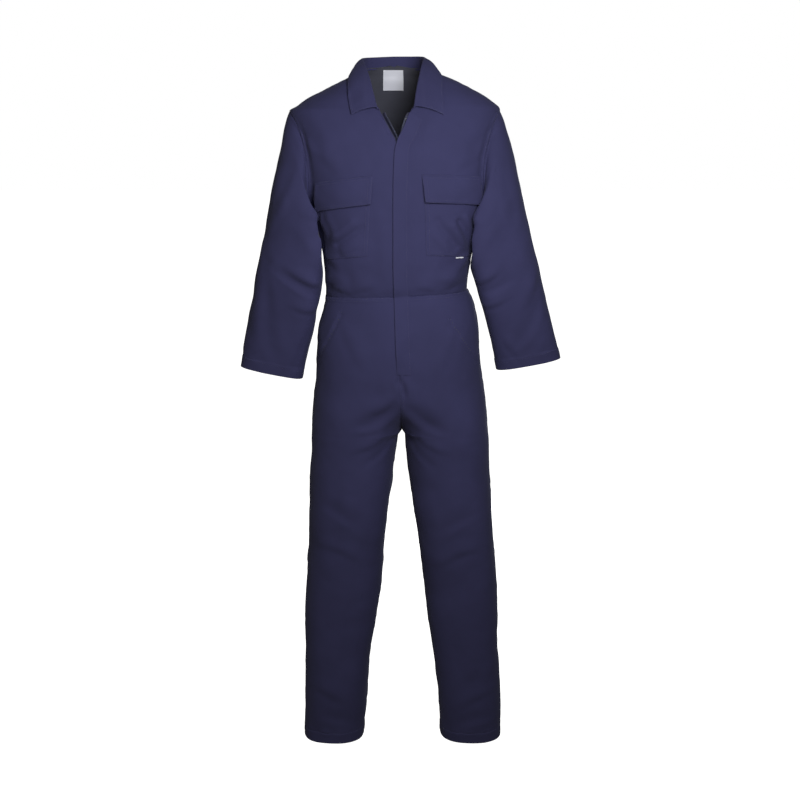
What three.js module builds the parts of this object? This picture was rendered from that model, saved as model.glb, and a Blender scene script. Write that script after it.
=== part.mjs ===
// A boiler suit in navy polycotton twill, filled out as if worn and hollow all through.
// Millimetres, +Z up, the chest faces -Y, and right and left are the wearer's, so left is +X.
// The origin is the middle of the neck base, where the wearer's shoulders hold the suit up.
import * as THREE from 'three';

// Cloth and seams
const WALL = 1.6;
const SEAM_HALF_GAP = 0.2;
const LAY_GAP = 0.8;
const PATCH_WALL = 1.4;

// Squareness of every section: 2 is an ellipse, more is squarer
const POWER = 2.5;

// Heights of the main lines
const WAIST_Z = -485;
const ARMPIT_Z = -290;
const SHOULDER_Z = -72;
const NECK_SIDE_Z = 20;
const NECK_BACK_Z = 31.5;
const CROTCH_START_Z = -685;
const CROTCH_Z = -811;
const HEM_Z = -1590;

// Steps of the grids
const WAIST_STEPS = 7;
const ARMHOLE_STEPS = 11;
const SHOULDER_STEPS = 8;
const NECK_STEPS = 3;
const PANEL_COLUMNS = 9;
const SLEEVE_STEPS = 12;
const CROTCH_STEPS = 5;
const LEG_ROWS_ABOVE = [-505, -532, -565, -603];
const LEG_ROWS_BELOW = [-820, -845, -885, -940, -1010, -1090, -1170, -1250, -1330, -1410, -1490, -1560];
const FLY_END_ROW = -662;

// The waist seam runs up towards the wearer's left
const WAIST_TILT = 0.04;
const WAIST_TILT_REACH = 60;

// The armhole cuts this share off the half width at its deepest, and the cut eases in with this power
const ARMHOLE_CUT = 0.115;
const ARMHOLE_EASE = 1.57;

const RIGHT = -1;
const LEFT = 1;
const FRONT = -1;
const BACK = 1;

// A table has named columns, and its first column is the height or place that the rest are read at.
function table(names, rows) {
  const places = rows.map((row) => row[0]);
  const slopesOf = (column) => {
    const chord = rows.slice(1).map((row, i) => (row[column] - rows[i][column]) / (row[0] - rows[i][0]));
    return rows.map((row, i) => {
      if (i === 0) return chord[0];
      if (i === rows.length - 1) return chord[i - 1];
      const product = chord[i - 1] * chord[i];
      return product <= 0 ? 0 : (2 * product) / (chord[i - 1] + chord[i]);
    });
  };
  const slopes = names.map((name, column) => (column === 0 ? null : slopesOf(column)));
  return (name, place) => {
    const column = names.indexOf(name);
    const rising = places[places.length - 1] > places[0];
    const low = rising ? places[0] : places[places.length - 1];
    const high = rising ? places[places.length - 1] : places[0];
    const at = Math.min(Math.max(place, low), high);
    let i = 0;
    while (i < rows.length - 2 && (rising ? at > places[i + 1] : at < places[i + 1])) i += 1;
    const span = places[i + 1] - places[i];
    const t = (at - places[i]) / span;
    const from = rows[i][column];
    const to = rows[i + 1][column];
    const bend = t * t * (3 - 2 * t);
    const start = t * (1 - t) * (1 - t) * span * slopes[column][i];
    const end = t * t * (t - 1) * span * slopes[column][i + 1];
    return from + (to - from) * bend + start + end;
  };
}

// The trunk: centre line, half width at the side seam, and depth of the front and the back
const TRUNK = table(['z', 'centre', 'half', 'front', 'back'], [
  [-485, 6.5, 165, 119, 123],
  [-462, 6.5, 166.5, 126, 129],
  [-430, 7, 169.5, 129, 131],
  [-380, 8, 176, 129, 128],
  [-330, 7.5, 190, 128, 124],
  [-290, 6.5, 203, 127, 121],
  [-240, 5.5, 216, 126, 120],
  [-180, 5, 226, 122, 119],
  [-120, 4.5, 234, 109, 113],
  [-72, 3, 240, 92, 103],
  [-60, 10, 228, 87, 100],
  [-42, 11, 203, 78, 96],
  [-25, 11.5, 170, 67, 91],
  [-11, 11, 143, 57, 87],
  [2, 8, 116, 46, 83],
  [11, 4, 95, 38, 81],
  [20, 1, 76, 30, 78],
  [31.5, 0, 67, 30, 74],
]);

// The front edges: the neckline above the shoulder tip, the V below it, then the zip and the front seam
const FRONT_EDGE = table(['z', 'seam', 'right', 'left'], [
  [-811, 19.5, 19.5, 19.5],
  [-685, 13.5, 13.5, 13.5],
  [-662, 14, 14, 14],
  [-640, 14.5, 9.5, 19.5],
  [-485, 14.5, 9.5, 19.5],
  [-400, 14, 9, 19],
  [-165, 14, 9, 19],
  [-135.7, 12, 4, 17.5],
  [-120, 9.5, -5, 21.5],
  [-104, 7, -13.5, 26],
  [-88, 5.5, -22.5, 31.5],
  [-72, 4, -30.5, 40],
  [-45, 3, -49.5, 57.5],
  [-15, 3, -63.5, 70.5],
  [8, 2, -72, 76],
  [20, 1, -74.2, 76.2],
]);
const ZIP_BOTTOM_Z = -640;
const ZIP_TOP_Z = -166;

// Half width of the back neckline above the side of the neck
const BACK_NECK = table(['z', 'half'], [
  [20, 76],
  [24, 66],
  [28, 48],
  [31.5, 8],
]);

// The legs: side seams, insides and depths
const LEGS = table(['z', 'rightOut', 'rightIn', 'leftIn', 'leftOut', 'front', 'back'], [
  [-485, -158.5, 19.5, 19.5, 171.5, 119, 123],
  [-505, -164, 19.5, 19.5, 185, 124, 132],
  [-534, -171, 19.5, 19.5, 194, 130, 142],
  [-576, -179, 19.5, 19.5, 201, 137, 153],
  [-624, -180.5, 19.5, 19.5, 203, 140, 159],
  [-685, -183, 19.5, 19.5, 210, 138, 160],
  [-755, -190, 19.5, 19.5, 220, 130, 150],
  [-811, -195, 19.5, 19.5, 224, 122, 138],
  [-820, -196, 12, 27, 225, 121, 136],
  [-843, -197.5, 8, 28, 227, 118, 132],
  [-893, -200, 0, 33, 229, 113, 125],
  [-993, -204, -12, 46, 237, 106, 114],
  [-1094, -208, -22, 61, 243, 99, 104],
  [-1196, -214, -32, 74, 251, 92, 96],
  [-1300, -219, -45, 85, 257, 88, 90],
  [-1405, -220, -60, 99, 261, 84, 87],
  [-1512, -221.5, -70, 110, 265, 81, 82],
  [-1590, -224, -76, 116, 266, 79, 79],
]);

// The sleeves: outer and inner edge seen from the front
const SLEEVE_OUTER = table(['z', 'right', 'left'], [
  [-72, -237, 243],
  [-90, -243.5, 253],
  [-114, -251, 261],
  [-159, -262, 273],
  [-213, -274, 286],
  [-268, -285, 299],
  [-323, -297, 312],
  [-379, -307, 325],
  [-435, -318, 340],
  [-505, -332, 358],
  [-576, -347, 376],
  [-624, -355, 389],
  [-659, -361, 398],
]);
const SLEEVE_INNER = table(['z', 'right', 'left'], [
  [-290, -196.5, 209.5],
  [-304, -196.5, 210],
  [-330, -186.5, 201.5],
  [-380, -170, 186],
  [-424, -163.5, 178.5],
  [-440, -162.5, 181.5],
  [-463, -165, 189.5],
  [-505, -173, 201],
  [-534, -178.5, 210],
  [-576, -188.5, 223],
  [-624, -203, 235],
  [-687, -218, 248],
]);
// Along the sleeve: half its depth, how far it hangs forward, how far its inner side swings forward to
// clear the body, and how far the front is tucked in under the arm
const SLEEVE_RUN = table(['along', 'depth', 'forward', 'swing', 'tuck'], [
  [0, 70, 0, 0, 0],
  [0.04, 76, 0, 11, 1],
  [0.1, 83, 0, 34, 16],
  [0.22, 88, 0, 44, 20],
  [0.3, 87, -1, 44, 14],
  [0.36, 85, -1.5, 42, 6],
  [0.42, 82, -2, 40, 0],
  [0.6, 73, -5, 26, 0],
  [0.8, 58, -9, 12, 0],
  [1, 43, -12, 6, 0],
]);
// The front swings in a broad curve, and the back only close to the inner edge
const SWING_POWER = { front: 2, back: 9 };
// Rings lie closer near the armhole, whose shape fades out over the first share of the sleeve
const SLEEVE_CROWDING = 1.1;
const ARMHOLE_FADES_OVER = 0.3;
const CUFF_OUTER_Z = table(['side', 'z'], [[-1, -659], [1, -640]]);
const CUFF_INNER_Z = table(['side', 'z'], [[-1, -687], [1, -667]]);

// The main soft folds, each a ridge or a trough between two places, read on the surface nearby
const FOLDS = [
  { from: [-165, -80, -452], to: [-105, -122, -470], width: 17, lift: 5 },
  { from: [168, -70, -452], to: [110, -118, -468], width: 17, lift: 4.5 },
  { from: [-330, -40, -470], to: [-215, -58, -535], width: 20, lift: 4 },
  { from: [345, -30, -430], to: [230, -60, -500], width: 20, lift: 4 },
  { from: [-300, 40, -430], to: [-190, 50, -505], width: 20, lift: 4 },
  { from: [325, 40, -430], to: [215, 50, -495], width: 20, lift: 4 },
  { from: [12, -128, -745], to: [-92, -104, -790], width: 20, lift: -4 },
  { from: [26, -128, -745], to: [118, -104, -800], width: 20, lift: -4 },
  { from: [-40, 140, -752], to: [-120, 118, -850], width: 24, lift: -4 },
  { from: [60, 140, -752], to: [150, 118, -850], width: 24, lift: -4 },
  { from: [-70, 128, -440], to: [80, 130, -452], width: 20, lift: 4 },
  { from: [-150, 85, -446], to: [-95, 118, -462], width: 18, lift: 4 },
  { from: [155, 85, -440], to: [105, 118, -458], width: 18, lift: 4 },
];
const FOLD_REACH = 2.5;

// The collar, from the end at the V round to the middle of the back
const COLLAR = table(
  ['along', 'centre', 'foldHalf', 'foldY', 'foldZ', 'edgeCentre', 'edgeHalf', 'edgeZ', 'gap'],
  [
    [0, 5, 43, -98, -66, 9.5, 101, -84, 1.4],
    [0.14, 3, 50, -80, -32, 7, 104, -62, 1.4],
    [0.28, 2, 58, -54, 2, 4, 104.5, -36, 2],
    [0.42, 0, 67, -20, 31.5, 4, 105, -12, 3.4],
    [0.56, -1, 71.5, 15, 44, 3, 99, 7.5, 3.4],
    [0.7, -1, 62, 46, 48, 1, 86, 10, 2],
    [0.85, -1, 36, 67, 50, 0, 46, 6, 1.2],
    [1, -1, 0, 75, 51, 0, 0, 4, 1.2],
  ],
);
// The fold line rises by this share towards the wearer's left
const COLLAR_SLANT = 0.022;
const COLLAR_HALF_STEPS = 11;
const COLLAR_WALL = 1.8;
const COLLAR_FOLD_RADIUS = 2.2;
const COLLAR_LIFT = 4.5;
const COLLAR_BULGE = 11;
const FALL_STEPS = 5;
const COLLAR_PASSES_SHOULDER = 0.56;
const COLLAR_AT_NECK_SIDE = 0.5;

// The fly flap: its free edge, and its width to the stitch line
const FLY_EDGE = table(['z', 'x'], [
  [-660, 8],
  [-600, 5],
  [-513, 2],
  [-400, -1],
  [-267, -1],
  [-165, 2],
  [-135.7, 9],
  [-120, 16],
  [-104, 22],
  [-88, 27],
  [-78, 31],
]);
const FLY_WIDTH = 33;
const FLY_WALL = 2;
const FLY_TOP_Z = -78;
const FLY_BOTTOM_Z = -660;
const FLY_COLUMNS = 3;
const FLY_SEWN_WALL = 1;
const FLY_EDGE_LIFT = 1.7;

// Above this height the fly turns square to the V, over this much, narrower and slanting by these shares
const FLY_TURN = { z: -150, over: 25, narrower: 0.9, slant: 0.45 };

// Chest pockets: corners as seen from the front, top to bottom and inner to outer
const FLAPS = [
  { side: RIGHT, top: [-45, -215, -178, -232], bottom: [-49, -277, -176, -297] },
  { side: LEFT, top: [63, -212, 194, -217], bottom: [70, -273, 196, -280] },
];
const POCKETS = [
  {
    side: RIGHT,
    top: [-49, -238, -173, -254],
    bottom: [-58, -392, -153, -404],
    fold: { from: [-122, -366], to: [-66, -327], width: 12, lift: -3 },
  },
  {
    side: LEFT,
    top: [69, -236, 190, -242],
    bottom: [74, -391, 169, -397],
    fold: { from: [146, -320], to: [176, -372], width: 12, lift: -4.5 },
  },
];
const FLAP_LIFT = 6;
const FLAP_LIFT_LOST = 0.35;
const POCKET_BULGE = 5;
const POCKET_SAG = 0.5;
const ROUND_SIDE = 1.35;
const FLAP_SWELL = 0.75;
const FLAP_STEPS = 4;
const POCKET_STEPS = 7;
const POCKET_COLUMNS = 8;

// Zip, labels
const TAPE_WIDTH = 14;
const TAPE_WALL = 0.9;
const TAPE_SHOWS = { right: 10, left: 6 };
const TAPE_SHOWS_CLOSED = 1.8;
const TAPE_PARTS_OVER = 45;
const TAPE_GAP = 0.8;
const TAPE_TOP_Z = -77;
const CHAIN_HALF = 2.7;
const CHAIN_WALL = 2.2;
const CHAIN_DEPTH = 3.6;
const CHAIN_BOTTOM_Z = ZIP_BOTTOM_Z + 1;
const SLIDER_LENGTH = 14;
const SLIDER_HALF = 4.2;
const SLIDER_WALL = 1;
const SLIDER_DEPTH = 0.7;
const SLIDER_TOP_Z = ZIP_TOP_Z + 2;
const SLIDER_STEPS = 8;
const SLIDER_SHOULDER = 0.5;
const TAB_LENGTH = 24;
const TAB_HALF = 2.4;
const STOP = { z: -90, in: 3.4, depth: 1.9, half: 2.5, length: 7, wall: 1.6 };
const LABEL = { half: 24, top: 25, bottom: -21, centre: -1, wall: 0.9, gap: 1.2, rows: 3, columns: 4 };
const POCKET_TAB = { x: 149, z: -398, half: 9, height: 3, wall: 1 };

const NAVY = new THREE.MeshStandardMaterial({ color: '#34345a', roughness: 0.9, metalness: 0 });
const TAPE = new THREE.MeshStandardMaterial({ color: '#2b2c4a', roughness: 0.85, metalness: 0 });
const METAL = new THREE.MeshStandardMaterial({ color: '#b9bcc4', roughness: 0.35, metalness: 1 });
const WHITE = new THREE.MeshStandardMaterial({ color: '#c8cad8', roughness: 0.8, metalness: 0 });

const lerp = (from, to, t) => from + (to - from) * t;
const point = (x, y, z) => new THREE.Vector3(x, y, z);
const across = (angle) => Math.sign(Math.cos(angle)) * Math.abs(Math.cos(angle)) ** (2 / POWER);
const deep = (angle) => Math.abs(Math.sin(angle)) ** (2 / POWER);
const sideName = (side) => (side === RIGHT ? 'right' : 'left');
const faceName = (face) => (face === FRONT ? 'front' : 'back');

// Lifts the height of a point near the waist, so that the waist seam runs on its slant.
function tilted(x, y, z) {
  const near = Math.exp(-(((z - WAIST_Z) / WAIST_TILT_REACH) ** 2));
  return point(x, y, z + WAIST_TILT * x * near);
}

// A point of the trunk: angle 0 is the side seam or the shoulder, a right angle is the middle.
function trunkPoint(side, face, angle, z) {
  const x = TRUNK('centre', z) + side * TRUNK('half', z) * across(angle);
  const y = face * TRUNK(faceName(face), z) * deep(angle);
  return tilted(x, y, z);
}

// The angle of the trunk point that lies at x.
function trunkAngle(side, x, z) {
  const share = (side * (x - TRUNK('centre', z))) / TRUNK('half', z);
  const kept = Math.min(Math.max(share, -1), 1);
  return Math.acos(Math.sign(kept) * Math.abs(kept) ** (POWER / 2));
}

// How far the armhole has opened at a height, as the share of the half width that is left.
function armholeShare(step) {
  return 1 - ARMHOLE_CUT * Math.sin((Math.PI * step) / ARMHOLE_STEPS) ** ARMHOLE_EASE;
}

// Rows of the trunk from the waist up: each has a height and the angle where the panel ends.
function trunkRows() {
  const rows = [];
  for (let i = 0; i < WAIST_STEPS; i += 1) {
    rows.push({ z: lerp(WAIST_Z, ARMPIT_Z, i / WAIST_STEPS), outer: 0 });
  }
  for (let i = 0; i < ARMHOLE_STEPS; i += 1) {
    const rise = (1 - Math.cos((Math.PI * i) / ARMHOLE_STEPS)) / 2;
    const outer = i === 0 ? 0 : Math.acos(armholeShare(i) ** (POWER / 2));
    rows.push({ z: lerp(ARMPIT_Z, SHOULDER_Z, rise), outer });
  }
  for (let i = 0; i <= SHOULDER_STEPS; i += 1) {
    rows.push({ z: lerp(SHOULDER_Z, NECK_SIDE_Z, i / SHOULDER_STEPS), outer: 0 });
  }
  return rows;
}

// Where the front panel's inner edge lies: beside the zip, then along the V and the neckline.
const frontEdgeX = (side, z) => FRONT_EDGE(sideName(side), z);

function bodiceFront(side) {
  return trunkRows().map(({ z, outer }) => {
    const inner = trunkAngle(side, frontEdgeX(side, z), z);
    const row = [];
    for (let j = 0; j <= PANEL_COLUMNS; j += 1) {
      row.push(trunkPoint(side, FRONT, lerp(inner, outer, j / PANEL_COLUMNS), z));
    }
    return row;
  });
}

function bodiceBack() {
  const rows = trunkRows();
  for (let i = 1; i <= NECK_STEPS; i += 1) {
    const z = lerp(NECK_SIDE_Z, NECK_BACK_Z, i / NECK_STEPS);
    const half = BACK_NECK('half', z) / TRUNK('half', z);
    rows.push({ z, outer: Math.acos(half ** (POWER / 2)) });
  }
  return rows.map(({ z, outer }) => {
    const row = [];
    for (let j = -PANEL_COLUMNS; j <= PANEL_COLUMNS; j += 1) {
      const side = j < 0 ? RIGHT : LEFT;
      const middle = trunkAngle(side, FRONT_EDGE('seam', z), z);
      const angle = lerp(middle, outer, Math.abs(j) / PANEL_COLUMNS);
      row.push(trunkPoint(side, BACK, angle, z));
    }
    return row;
  });
}

// The closed seam of the armhole, from the shoulder tip down the front and up the back.
function armhole(side) {
  const loop = [];
  for (let j = 0; j < 2 * ARMHOLE_STEPS; j += 1) {
    const face = j <= ARMHOLE_STEPS ? FRONT : BACK;
    const step = j <= ARMHOLE_STEPS ? ARMHOLE_STEPS - j : j - ARMHOLE_STEPS;
    const rise = (1 - Math.cos((Math.PI * step) / ARMHOLE_STEPS)) / 2;
    const atEnd = step === 0 || step === ARMHOLE_STEPS;
    const angle = atEnd ? 0 : Math.acos(armholeShare(step) ** (POWER / 2));
    loop.push(trunkPoint(side, face, angle, lerp(ARMPIT_Z, SHOULDER_Z, rise)));
  }
  return loop;
}

// The sleeve's rings turn from the upright armhole to the level cuff.
function sleeve(side) {
  const name = sideName(side);
  const loop = armhole(side);
  const tip = loop[0];
  const pit = loop[ARMHOLE_STEPS];
  const rings = [];
  for (let k = 0; k <= SLEEVE_STEPS; k += 1) {
    const along = (k / SLEEVE_STEPS) ** SLEEVE_CROWDING;
    const outerZ = lerp(SHOULDER_Z, CUFF_OUTER_Z('z', side), along);
    const innerZ = lerp(ARMPIT_Z, CUFF_INNER_Z('z', side), along);
    const outer = k === 0 ? tip : point(SLEEVE_OUTER(name, outerZ), 0, outerZ);
    const inner = k === 0 ? pit : point(SLEEVE_INNER(name, innerZ), 0, innerZ);
    const free = THREE.MathUtils.smoothstep(along, 0, ARMHOLE_FADES_OVER);
    const depth = SLEEVE_RUN('depth', along);
    const forward = SLEEVE_RUN('forward', along);
    const swing = SLEEVE_RUN('swing', along);
    const tuck = SLEEVE_RUN('tuck', along);
    const ring = loop.map((seam, j) => {
      const turn = (Math.PI * j) / ARMHOLE_STEPS;
      const level = lerp(Math.cos(turn), across(turn), free);
      const loopShare = Math.abs(seam.y) / SLEEVE_RUN('depth', 0);
      const out = lerp(loopShare, deep(turn), free);
      const face = j <= ARMHOLE_STEPS ? FRONT : BACK;
      const straight = lerp(pit.x, tip.x, (1 + Math.cos(turn)) / 2);
      const bow = (seam.x - straight) * (1 - free);
      const tucked = face === FRONT && level < 0 ? tuck * Math.sin(2 * turn) ** 2 : 0;
      const x = lerp(inner.x, outer.x, (1 + level) / 2) + bow - side * tucked;
      const z = lerp(inner.z, outer.z, (1 + level) / 2);
      const swung = swing * ((1 - level) / 2) ** SWING_POWER[faceName(face)];
      return point(x, face * out * depth + forward - swung, z);
    });
    rings.push(k === 0 ? loop : ring);
  }
  return rings;
}

// Heights of the rows of a leg, from the waist down
function legHeights() {
  const heights = [WAIST_Z, ...LEG_ROWS_ABOVE, ZIP_BOTTOM_Z, FLY_END_ROW];
  for (let i = 0; i <= CROTCH_STEPS; i += 1) {
    const turn = (Math.PI / 2) * (i / CROTCH_STEPS);
    heights.push(lerp(CROTCH_START_Z, CROTCH_Z, Math.sin(turn)));
  }
  return heights.concat(LEG_ROWS_BELOW, HEM_Z);
}

// One leg panel row runs from the front or back seam, or from the inside seam, out to the side seam.
function legPanel(side, face) {
  const out = side === RIGHT ? 'rightOut' : 'leftOut';
  const inside = side === RIGHT ? 'rightIn' : 'leftIn';
  return legHeights().map((z) => {
    const seam = FRONT_EDGE('seam', z);
    const outX = LEGS(out, z);
    const depth = LEGS(faceName(face), z);
    let endX = seam;
    let reach = Math.abs(LEGS('leftOut', z) - LEGS('rightOut', z)) / 2;
    let level = 1 - Math.abs(outX - endX) / reach;
    if (z < CROTCH_START_Z) {
      const drop = Math.min((CROTCH_START_Z - z) / (CROTCH_START_Z - CROTCH_Z), 1);
      level = -THREE.MathUtils.smoothstep(drop, 0, 1);
      endX = z < CROTCH_Z ? LEGS(inside, z) : seam;
      reach = Math.abs(outX - endX) / (1 - level);
    } else if (face === FRONT && z >= ZIP_BOTTOM_Z) {
      level = 1 - Math.abs(outX - frontEdgeX(side, z)) / reach;
    }
    const end = Math.acos(Math.sign(level) * Math.abs(level) ** (POWER / 2));
    const row = [];
    for (let j = 0; j <= PANEL_COLUMNS; j += 1) {
      const angle = lerp(end, 0, j / PANEL_COLUMNS);
      const x = outX - side * reach * (1 - across(angle));
      row.push(tilted(x, face * depth * deep(angle), z));
    }
    return row;
  });
}

// How far the folds push a point out or in.
function foldLift(place) {
  let lift = 0;
  for (const fold of FOLDS) {
    const from = new THREE.Vector3(...fold.from);
    const to = new THREE.Vector3(...fold.to);
    const line = new THREE.Line3(from, to);
    const near = line.closestPointToPoint(place, true, new THREE.Vector3());
    const away = near.distanceTo(place) / fold.width;
    if (away < FOLD_REACH) {
      lift += fold.lift * Math.exp(-away * away);
    }
  }
  return lift;
}

// A place inside the bodice, and inside each sleeve and leg
const BODICE_INSIDE = point(0, 0, -250);
const sleeveInside = (side) => point(side * 265 + 10, 0, -430);
const legInside = (side) => point(side * 110 + 15, 0, -1010);

// The panels: a grid of points each, with a point inside
const panels = {
  front_right: { grid: bodiceFront(RIGHT), inside: BODICE_INSIDE },
  front_left: { grid: bodiceFront(LEFT), inside: BODICE_INSIDE },
  bodice_back: { grid: bodiceBack(), inside: BODICE_INSIDE },
};
for (const side of [RIGHT, LEFT]) {
  const rings = sleeve(side);
  const front = rings.map((ring) => ring.slice(0, ARMHOLE_STEPS + 1));
  const back = rings.map((ring) => [...ring.slice(ARMHOLE_STEPS), ring[0]]);
  panels[`sleeve_front_${sideName(side)}`] = { grid: front, inside: sleeveInside(side) };
  panels[`sleeve_back_${sideName(side)}`] = { grid: back, inside: sleeveInside(side) };
  for (const face of [FRONT, BACK]) {
    const name = `leg_${faceName(face)}_${sideName(side)}`;
    panels[name] = { grid: legPanel(side, face), inside: legInside(side) };
  }
}

// Points of two panels within a fiftieth of a millimetre are one point of a seam
const KEYS_PER_MM = 50;
const keyOf = (p) => [p.x, p.y, p.z].map((value) => Math.round(value * KEYS_PER_MM)).join(' ');

// Sums the face normals at every point of a grid, pointing away from the given inside point.
function gridNormals({ grid, inside }) {
  const sums = grid.map((row) => row.map(() => new THREE.Vector3()));
  const columns = grid[0].length;
  for (let i = 0; i < grid.length - 1; i += 1) {
    for (let j = 0; j < columns - 1; j += 1) {
      const a = grid[i + 1][j + 1].clone().sub(grid[i][j]);
      const b = grid[i + 1][j].clone().sub(grid[i][j + 1]);
      const normal = a.cross(b);
      for (const [row, column] of [[i, j], [i, j + 1], [i + 1, j], [i + 1, j + 1]]) {
        sums[row][column].add(normal);
      }
    }
  }
  const i = Math.floor(grid.length / 2);
  const j = Math.floor(columns / 2);
  const outward = sums[i][j].dot(grid[i][j].clone().sub(inside)) > 0 ? 1 : -1;
  return sums.map((row) => row.map((sum) => sum.multiplyScalar(outward)));
}

// Gives every panel normals that halve the angle with its neighbours along the shared seams.
function joinedNormals() {
  const shared = new Map();
  const own = {};
  for (const [name, panel] of Object.entries(panels)) {
    own[name] = gridNormals(panel);
    panel.grid.forEach((row, i) => row.forEach((p, j) => {
      const key = keyOf(p);
      if (!shared.has(key)) shared.set(key, new THREE.Vector3());
      shared.get(key).add(own[name][i][j].clone().normalize());
    }));
  }
  for (const panel of Object.values(panels)) {
    panel.normals = panel.grid.map((row) => row.map((p) => shared.get(keyOf(p)).clone().normalize()));
  }
}

joinedNormals();
for (const panel of Object.values(panels)) {
  panel.grid = panel.grid.map((row, i) => row.map((p, j) => (
    p.clone().addScaledVector(panel.normals[i][j], foldLift(p))
  )));
}
joinedNormals();

// A closed wall between two grids of the same size. Its rims take the shorter diagonal,
// as their neighbours do.
function wallBetween(outer, inner) {
  const rows = outer.length;
  const columns = outer[0].length;
  const positions = [];
  for (const grid of [outer, inner]) {
    for (const row of grid) {
      for (const p of row) positions.push(p.x, p.y, p.z);
    }
  }
  const at = (face, i, j) => face * rows * columns + i * columns + j;
  const faces = [];
  const quad = (a, b, c, d) => faces.push([a, b, c], [a, c, d]);
  const corner = (index) => new THREE.Vector3().fromArray(positions, index * 3);
  const rim = (a, b, c, d) => {
    if (corner(a).distanceTo(corner(c)) < corner(b).distanceTo(corner(d))) quad(a, b, c, d);
    else quad(b, c, d, a);
  };
  for (let i = 0; i < rows - 1; i += 1) {
    for (let j = 0; j < columns - 1; j += 1) {
      quad(at(0, i, j), at(0, i, j + 1), at(0, i + 1, j + 1), at(0, i + 1, j));
      quad(at(1, i, j), at(1, i + 1, j), at(1, i + 1, j + 1), at(1, i, j + 1));
    }
  }
  for (let j = 0; j < columns - 1; j += 1) {
    rim(at(0, 0, j + 1), at(0, 0, j), at(1, 0, j), at(1, 0, j + 1));
    rim(at(0, rows - 1, j), at(0, rows - 1, j + 1), at(1, rows - 1, j + 1), at(1, rows - 1, j));
  }
  const end = columns - 1;
  for (let i = 0; i < rows - 1; i += 1) {
    rim(at(0, i, 0), at(0, i + 1, 0), at(1, i + 1, 0), at(1, i, 0));
    rim(at(0, i + 1, end), at(0, i, end), at(1, i, end), at(1, i + 1, end));
  }
  return closedGeometry(positions, faces);
}

// Turns points and faces into a geometry whose faces point out.
function closedGeometry(positions, faces) {
  const corner = (index) => new THREE.Vector3().fromArray(positions, index * 3);
  let volume = 0;
  for (const [a, b, c] of faces) {
    volume += corner(a).dot(corner(b).cross(corner(c)));
  }
  const turned = volume < 0 ? faces.map(([a, b, c]) => [a, c, b]) : faces;
  const geometry = new THREE.BufferGeometry();
  geometry.setAttribute('position', new THREE.Float32BufferAttribute(positions, 3));
  geometry.setIndex(turned.flat());
  geometry.computeVertexNormals();
  return geometry;
}

// The border of a grid as one closed loop of rows and columns
function border(grid) {
  const last = grid.length - 1;
  const end = grid[0].length - 1;
  const top = grid[0].map((p, j) => [0, j]);
  const bottom = grid[0].map((p, j) => [last, end - j]);
  const rightSide = grid.slice(1, -1).map((row, i) => [i + 1, end]);
  const leftSide = grid.slice(1, -1).map((row, i) => [last - 1 - i, 0]);
  return [...top, ...rightSide, ...bottom, ...leftSide];
}

// Keeps a mitre at a sharp corner from growing long
const LEAST_MITRE = 0.5;

// Draws the border in by half the seam gap, square to the seam, so that sewn pieces lie just apart.
function trimmed(panel) {
  const { grid, normals } = panel;
  const last = grid.length - 1;
  const moved = grid.map((row) => row.map((p) => p.clone()));
  const loop = border(grid);
  const steps = loop.map(([i, j], k) => {
    const p = grid[i][j];
    const [beforeI, beforeJ] = loop[(k + loop.length - 1) % loop.length];
    const [afterI, afterJ] = loop[(k + 1) % loop.length];
    const before = p.clone().sub(grid[beforeI][beforeJ]).cross(normals[i][j]).normalize();
    const after = grid[afterI][afterJ].clone().sub(p).cross(normals[i][j]).normalize();
    const share = Math.max(1 + before.dot(after), LEAST_MITRE);
    return before.add(after).divideScalar(share);
  });
  const inwards = loop.reduce((sum, [i, j], k) => {
    const neighbour = grid[Math.min(Math.max(i, 1), last - 1)][j];
    return sum + steps[k].dot(neighbour.clone().sub(grid[i][j]));
  }, 0);
  loop.forEach(([i, j], k) => {
    moved[i][j].addScaledVector(steps[k], Math.sign(inwards) * SEAM_HALF_GAP);
  });
  return moved;
}

const suit = new THREE.Group();

function addMesh(name, geometry, material) {
  const mesh = new THREE.Mesh(geometry, material);
  mesh.name = name;
  suit.add(mesh);
}

for (const [name, panel] of Object.entries(panels)) {
  const outer = trimmed(panel);
  const inner = outer.map((row, i) => row.map((p, j) => (
    p.clone().addScaledVector(panel.normals[i][j], -WALL)
  )));
  addMesh(name, wallBetween(outer, inner), NAVY);
}

// Steps that the slope of the trunk is measured over, and the angle nearest the side where it has one
const ANGLE_STEP = 0.01;
const LEAST_ANGLE = 0.05;

// A point over the trunk, moved out from the cloth by a height: what lies on a panel is made from it.
function overTrunk(side, face, angle, z, height) {
  const near = Math.max(angle, LEAST_ANGLE);
  const p = trunkPoint(side, face, angle, z);
  const alongAngle = trunkPoint(side, face, near + ANGLE_STEP, z).sub(trunkPoint(side, face, near - ANGLE_STEP, z));
  const alongZ = trunkPoint(side, face, near, z + 1).sub(trunkPoint(side, face, near, z - 1));
  const normal = alongAngle.cross(alongZ).normalize();
  const away = point(p.x - TRUNK('centre', z), p.y, 0);
  if (normal.dot(away) < 0) normal.negate();
  const folded = p.clone().addScaledVector(normal, foldLift(p));
  return folded.addScaledVector(normal, height);
}

// The hip front is the trunk carried on below the waist.
function overFront(side, x, z, height) {
  if (z >= WAIST_Z) return overTrunk(side, FRONT, trunkAngle(side, x, z), z, height);
  const half = (LEGS('leftOut', z) - LEGS('rightOut', z)) / 2;
  const centre = (LEGS('leftOut', z) + LEGS('rightOut', z)) / 2;
  const share = Math.abs(x - centre) / half;
  const depth = LEGS('front', z) * (1 - share ** POWER) ** (1 / POWER);
  const p = tilted(x, -depth, z);
  return p.add(point(0, -foldLift(p) - height, 0));
}

const evenly = (steps) => [...Array(steps + 1).keys()].map((i) => i / steps);

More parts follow.
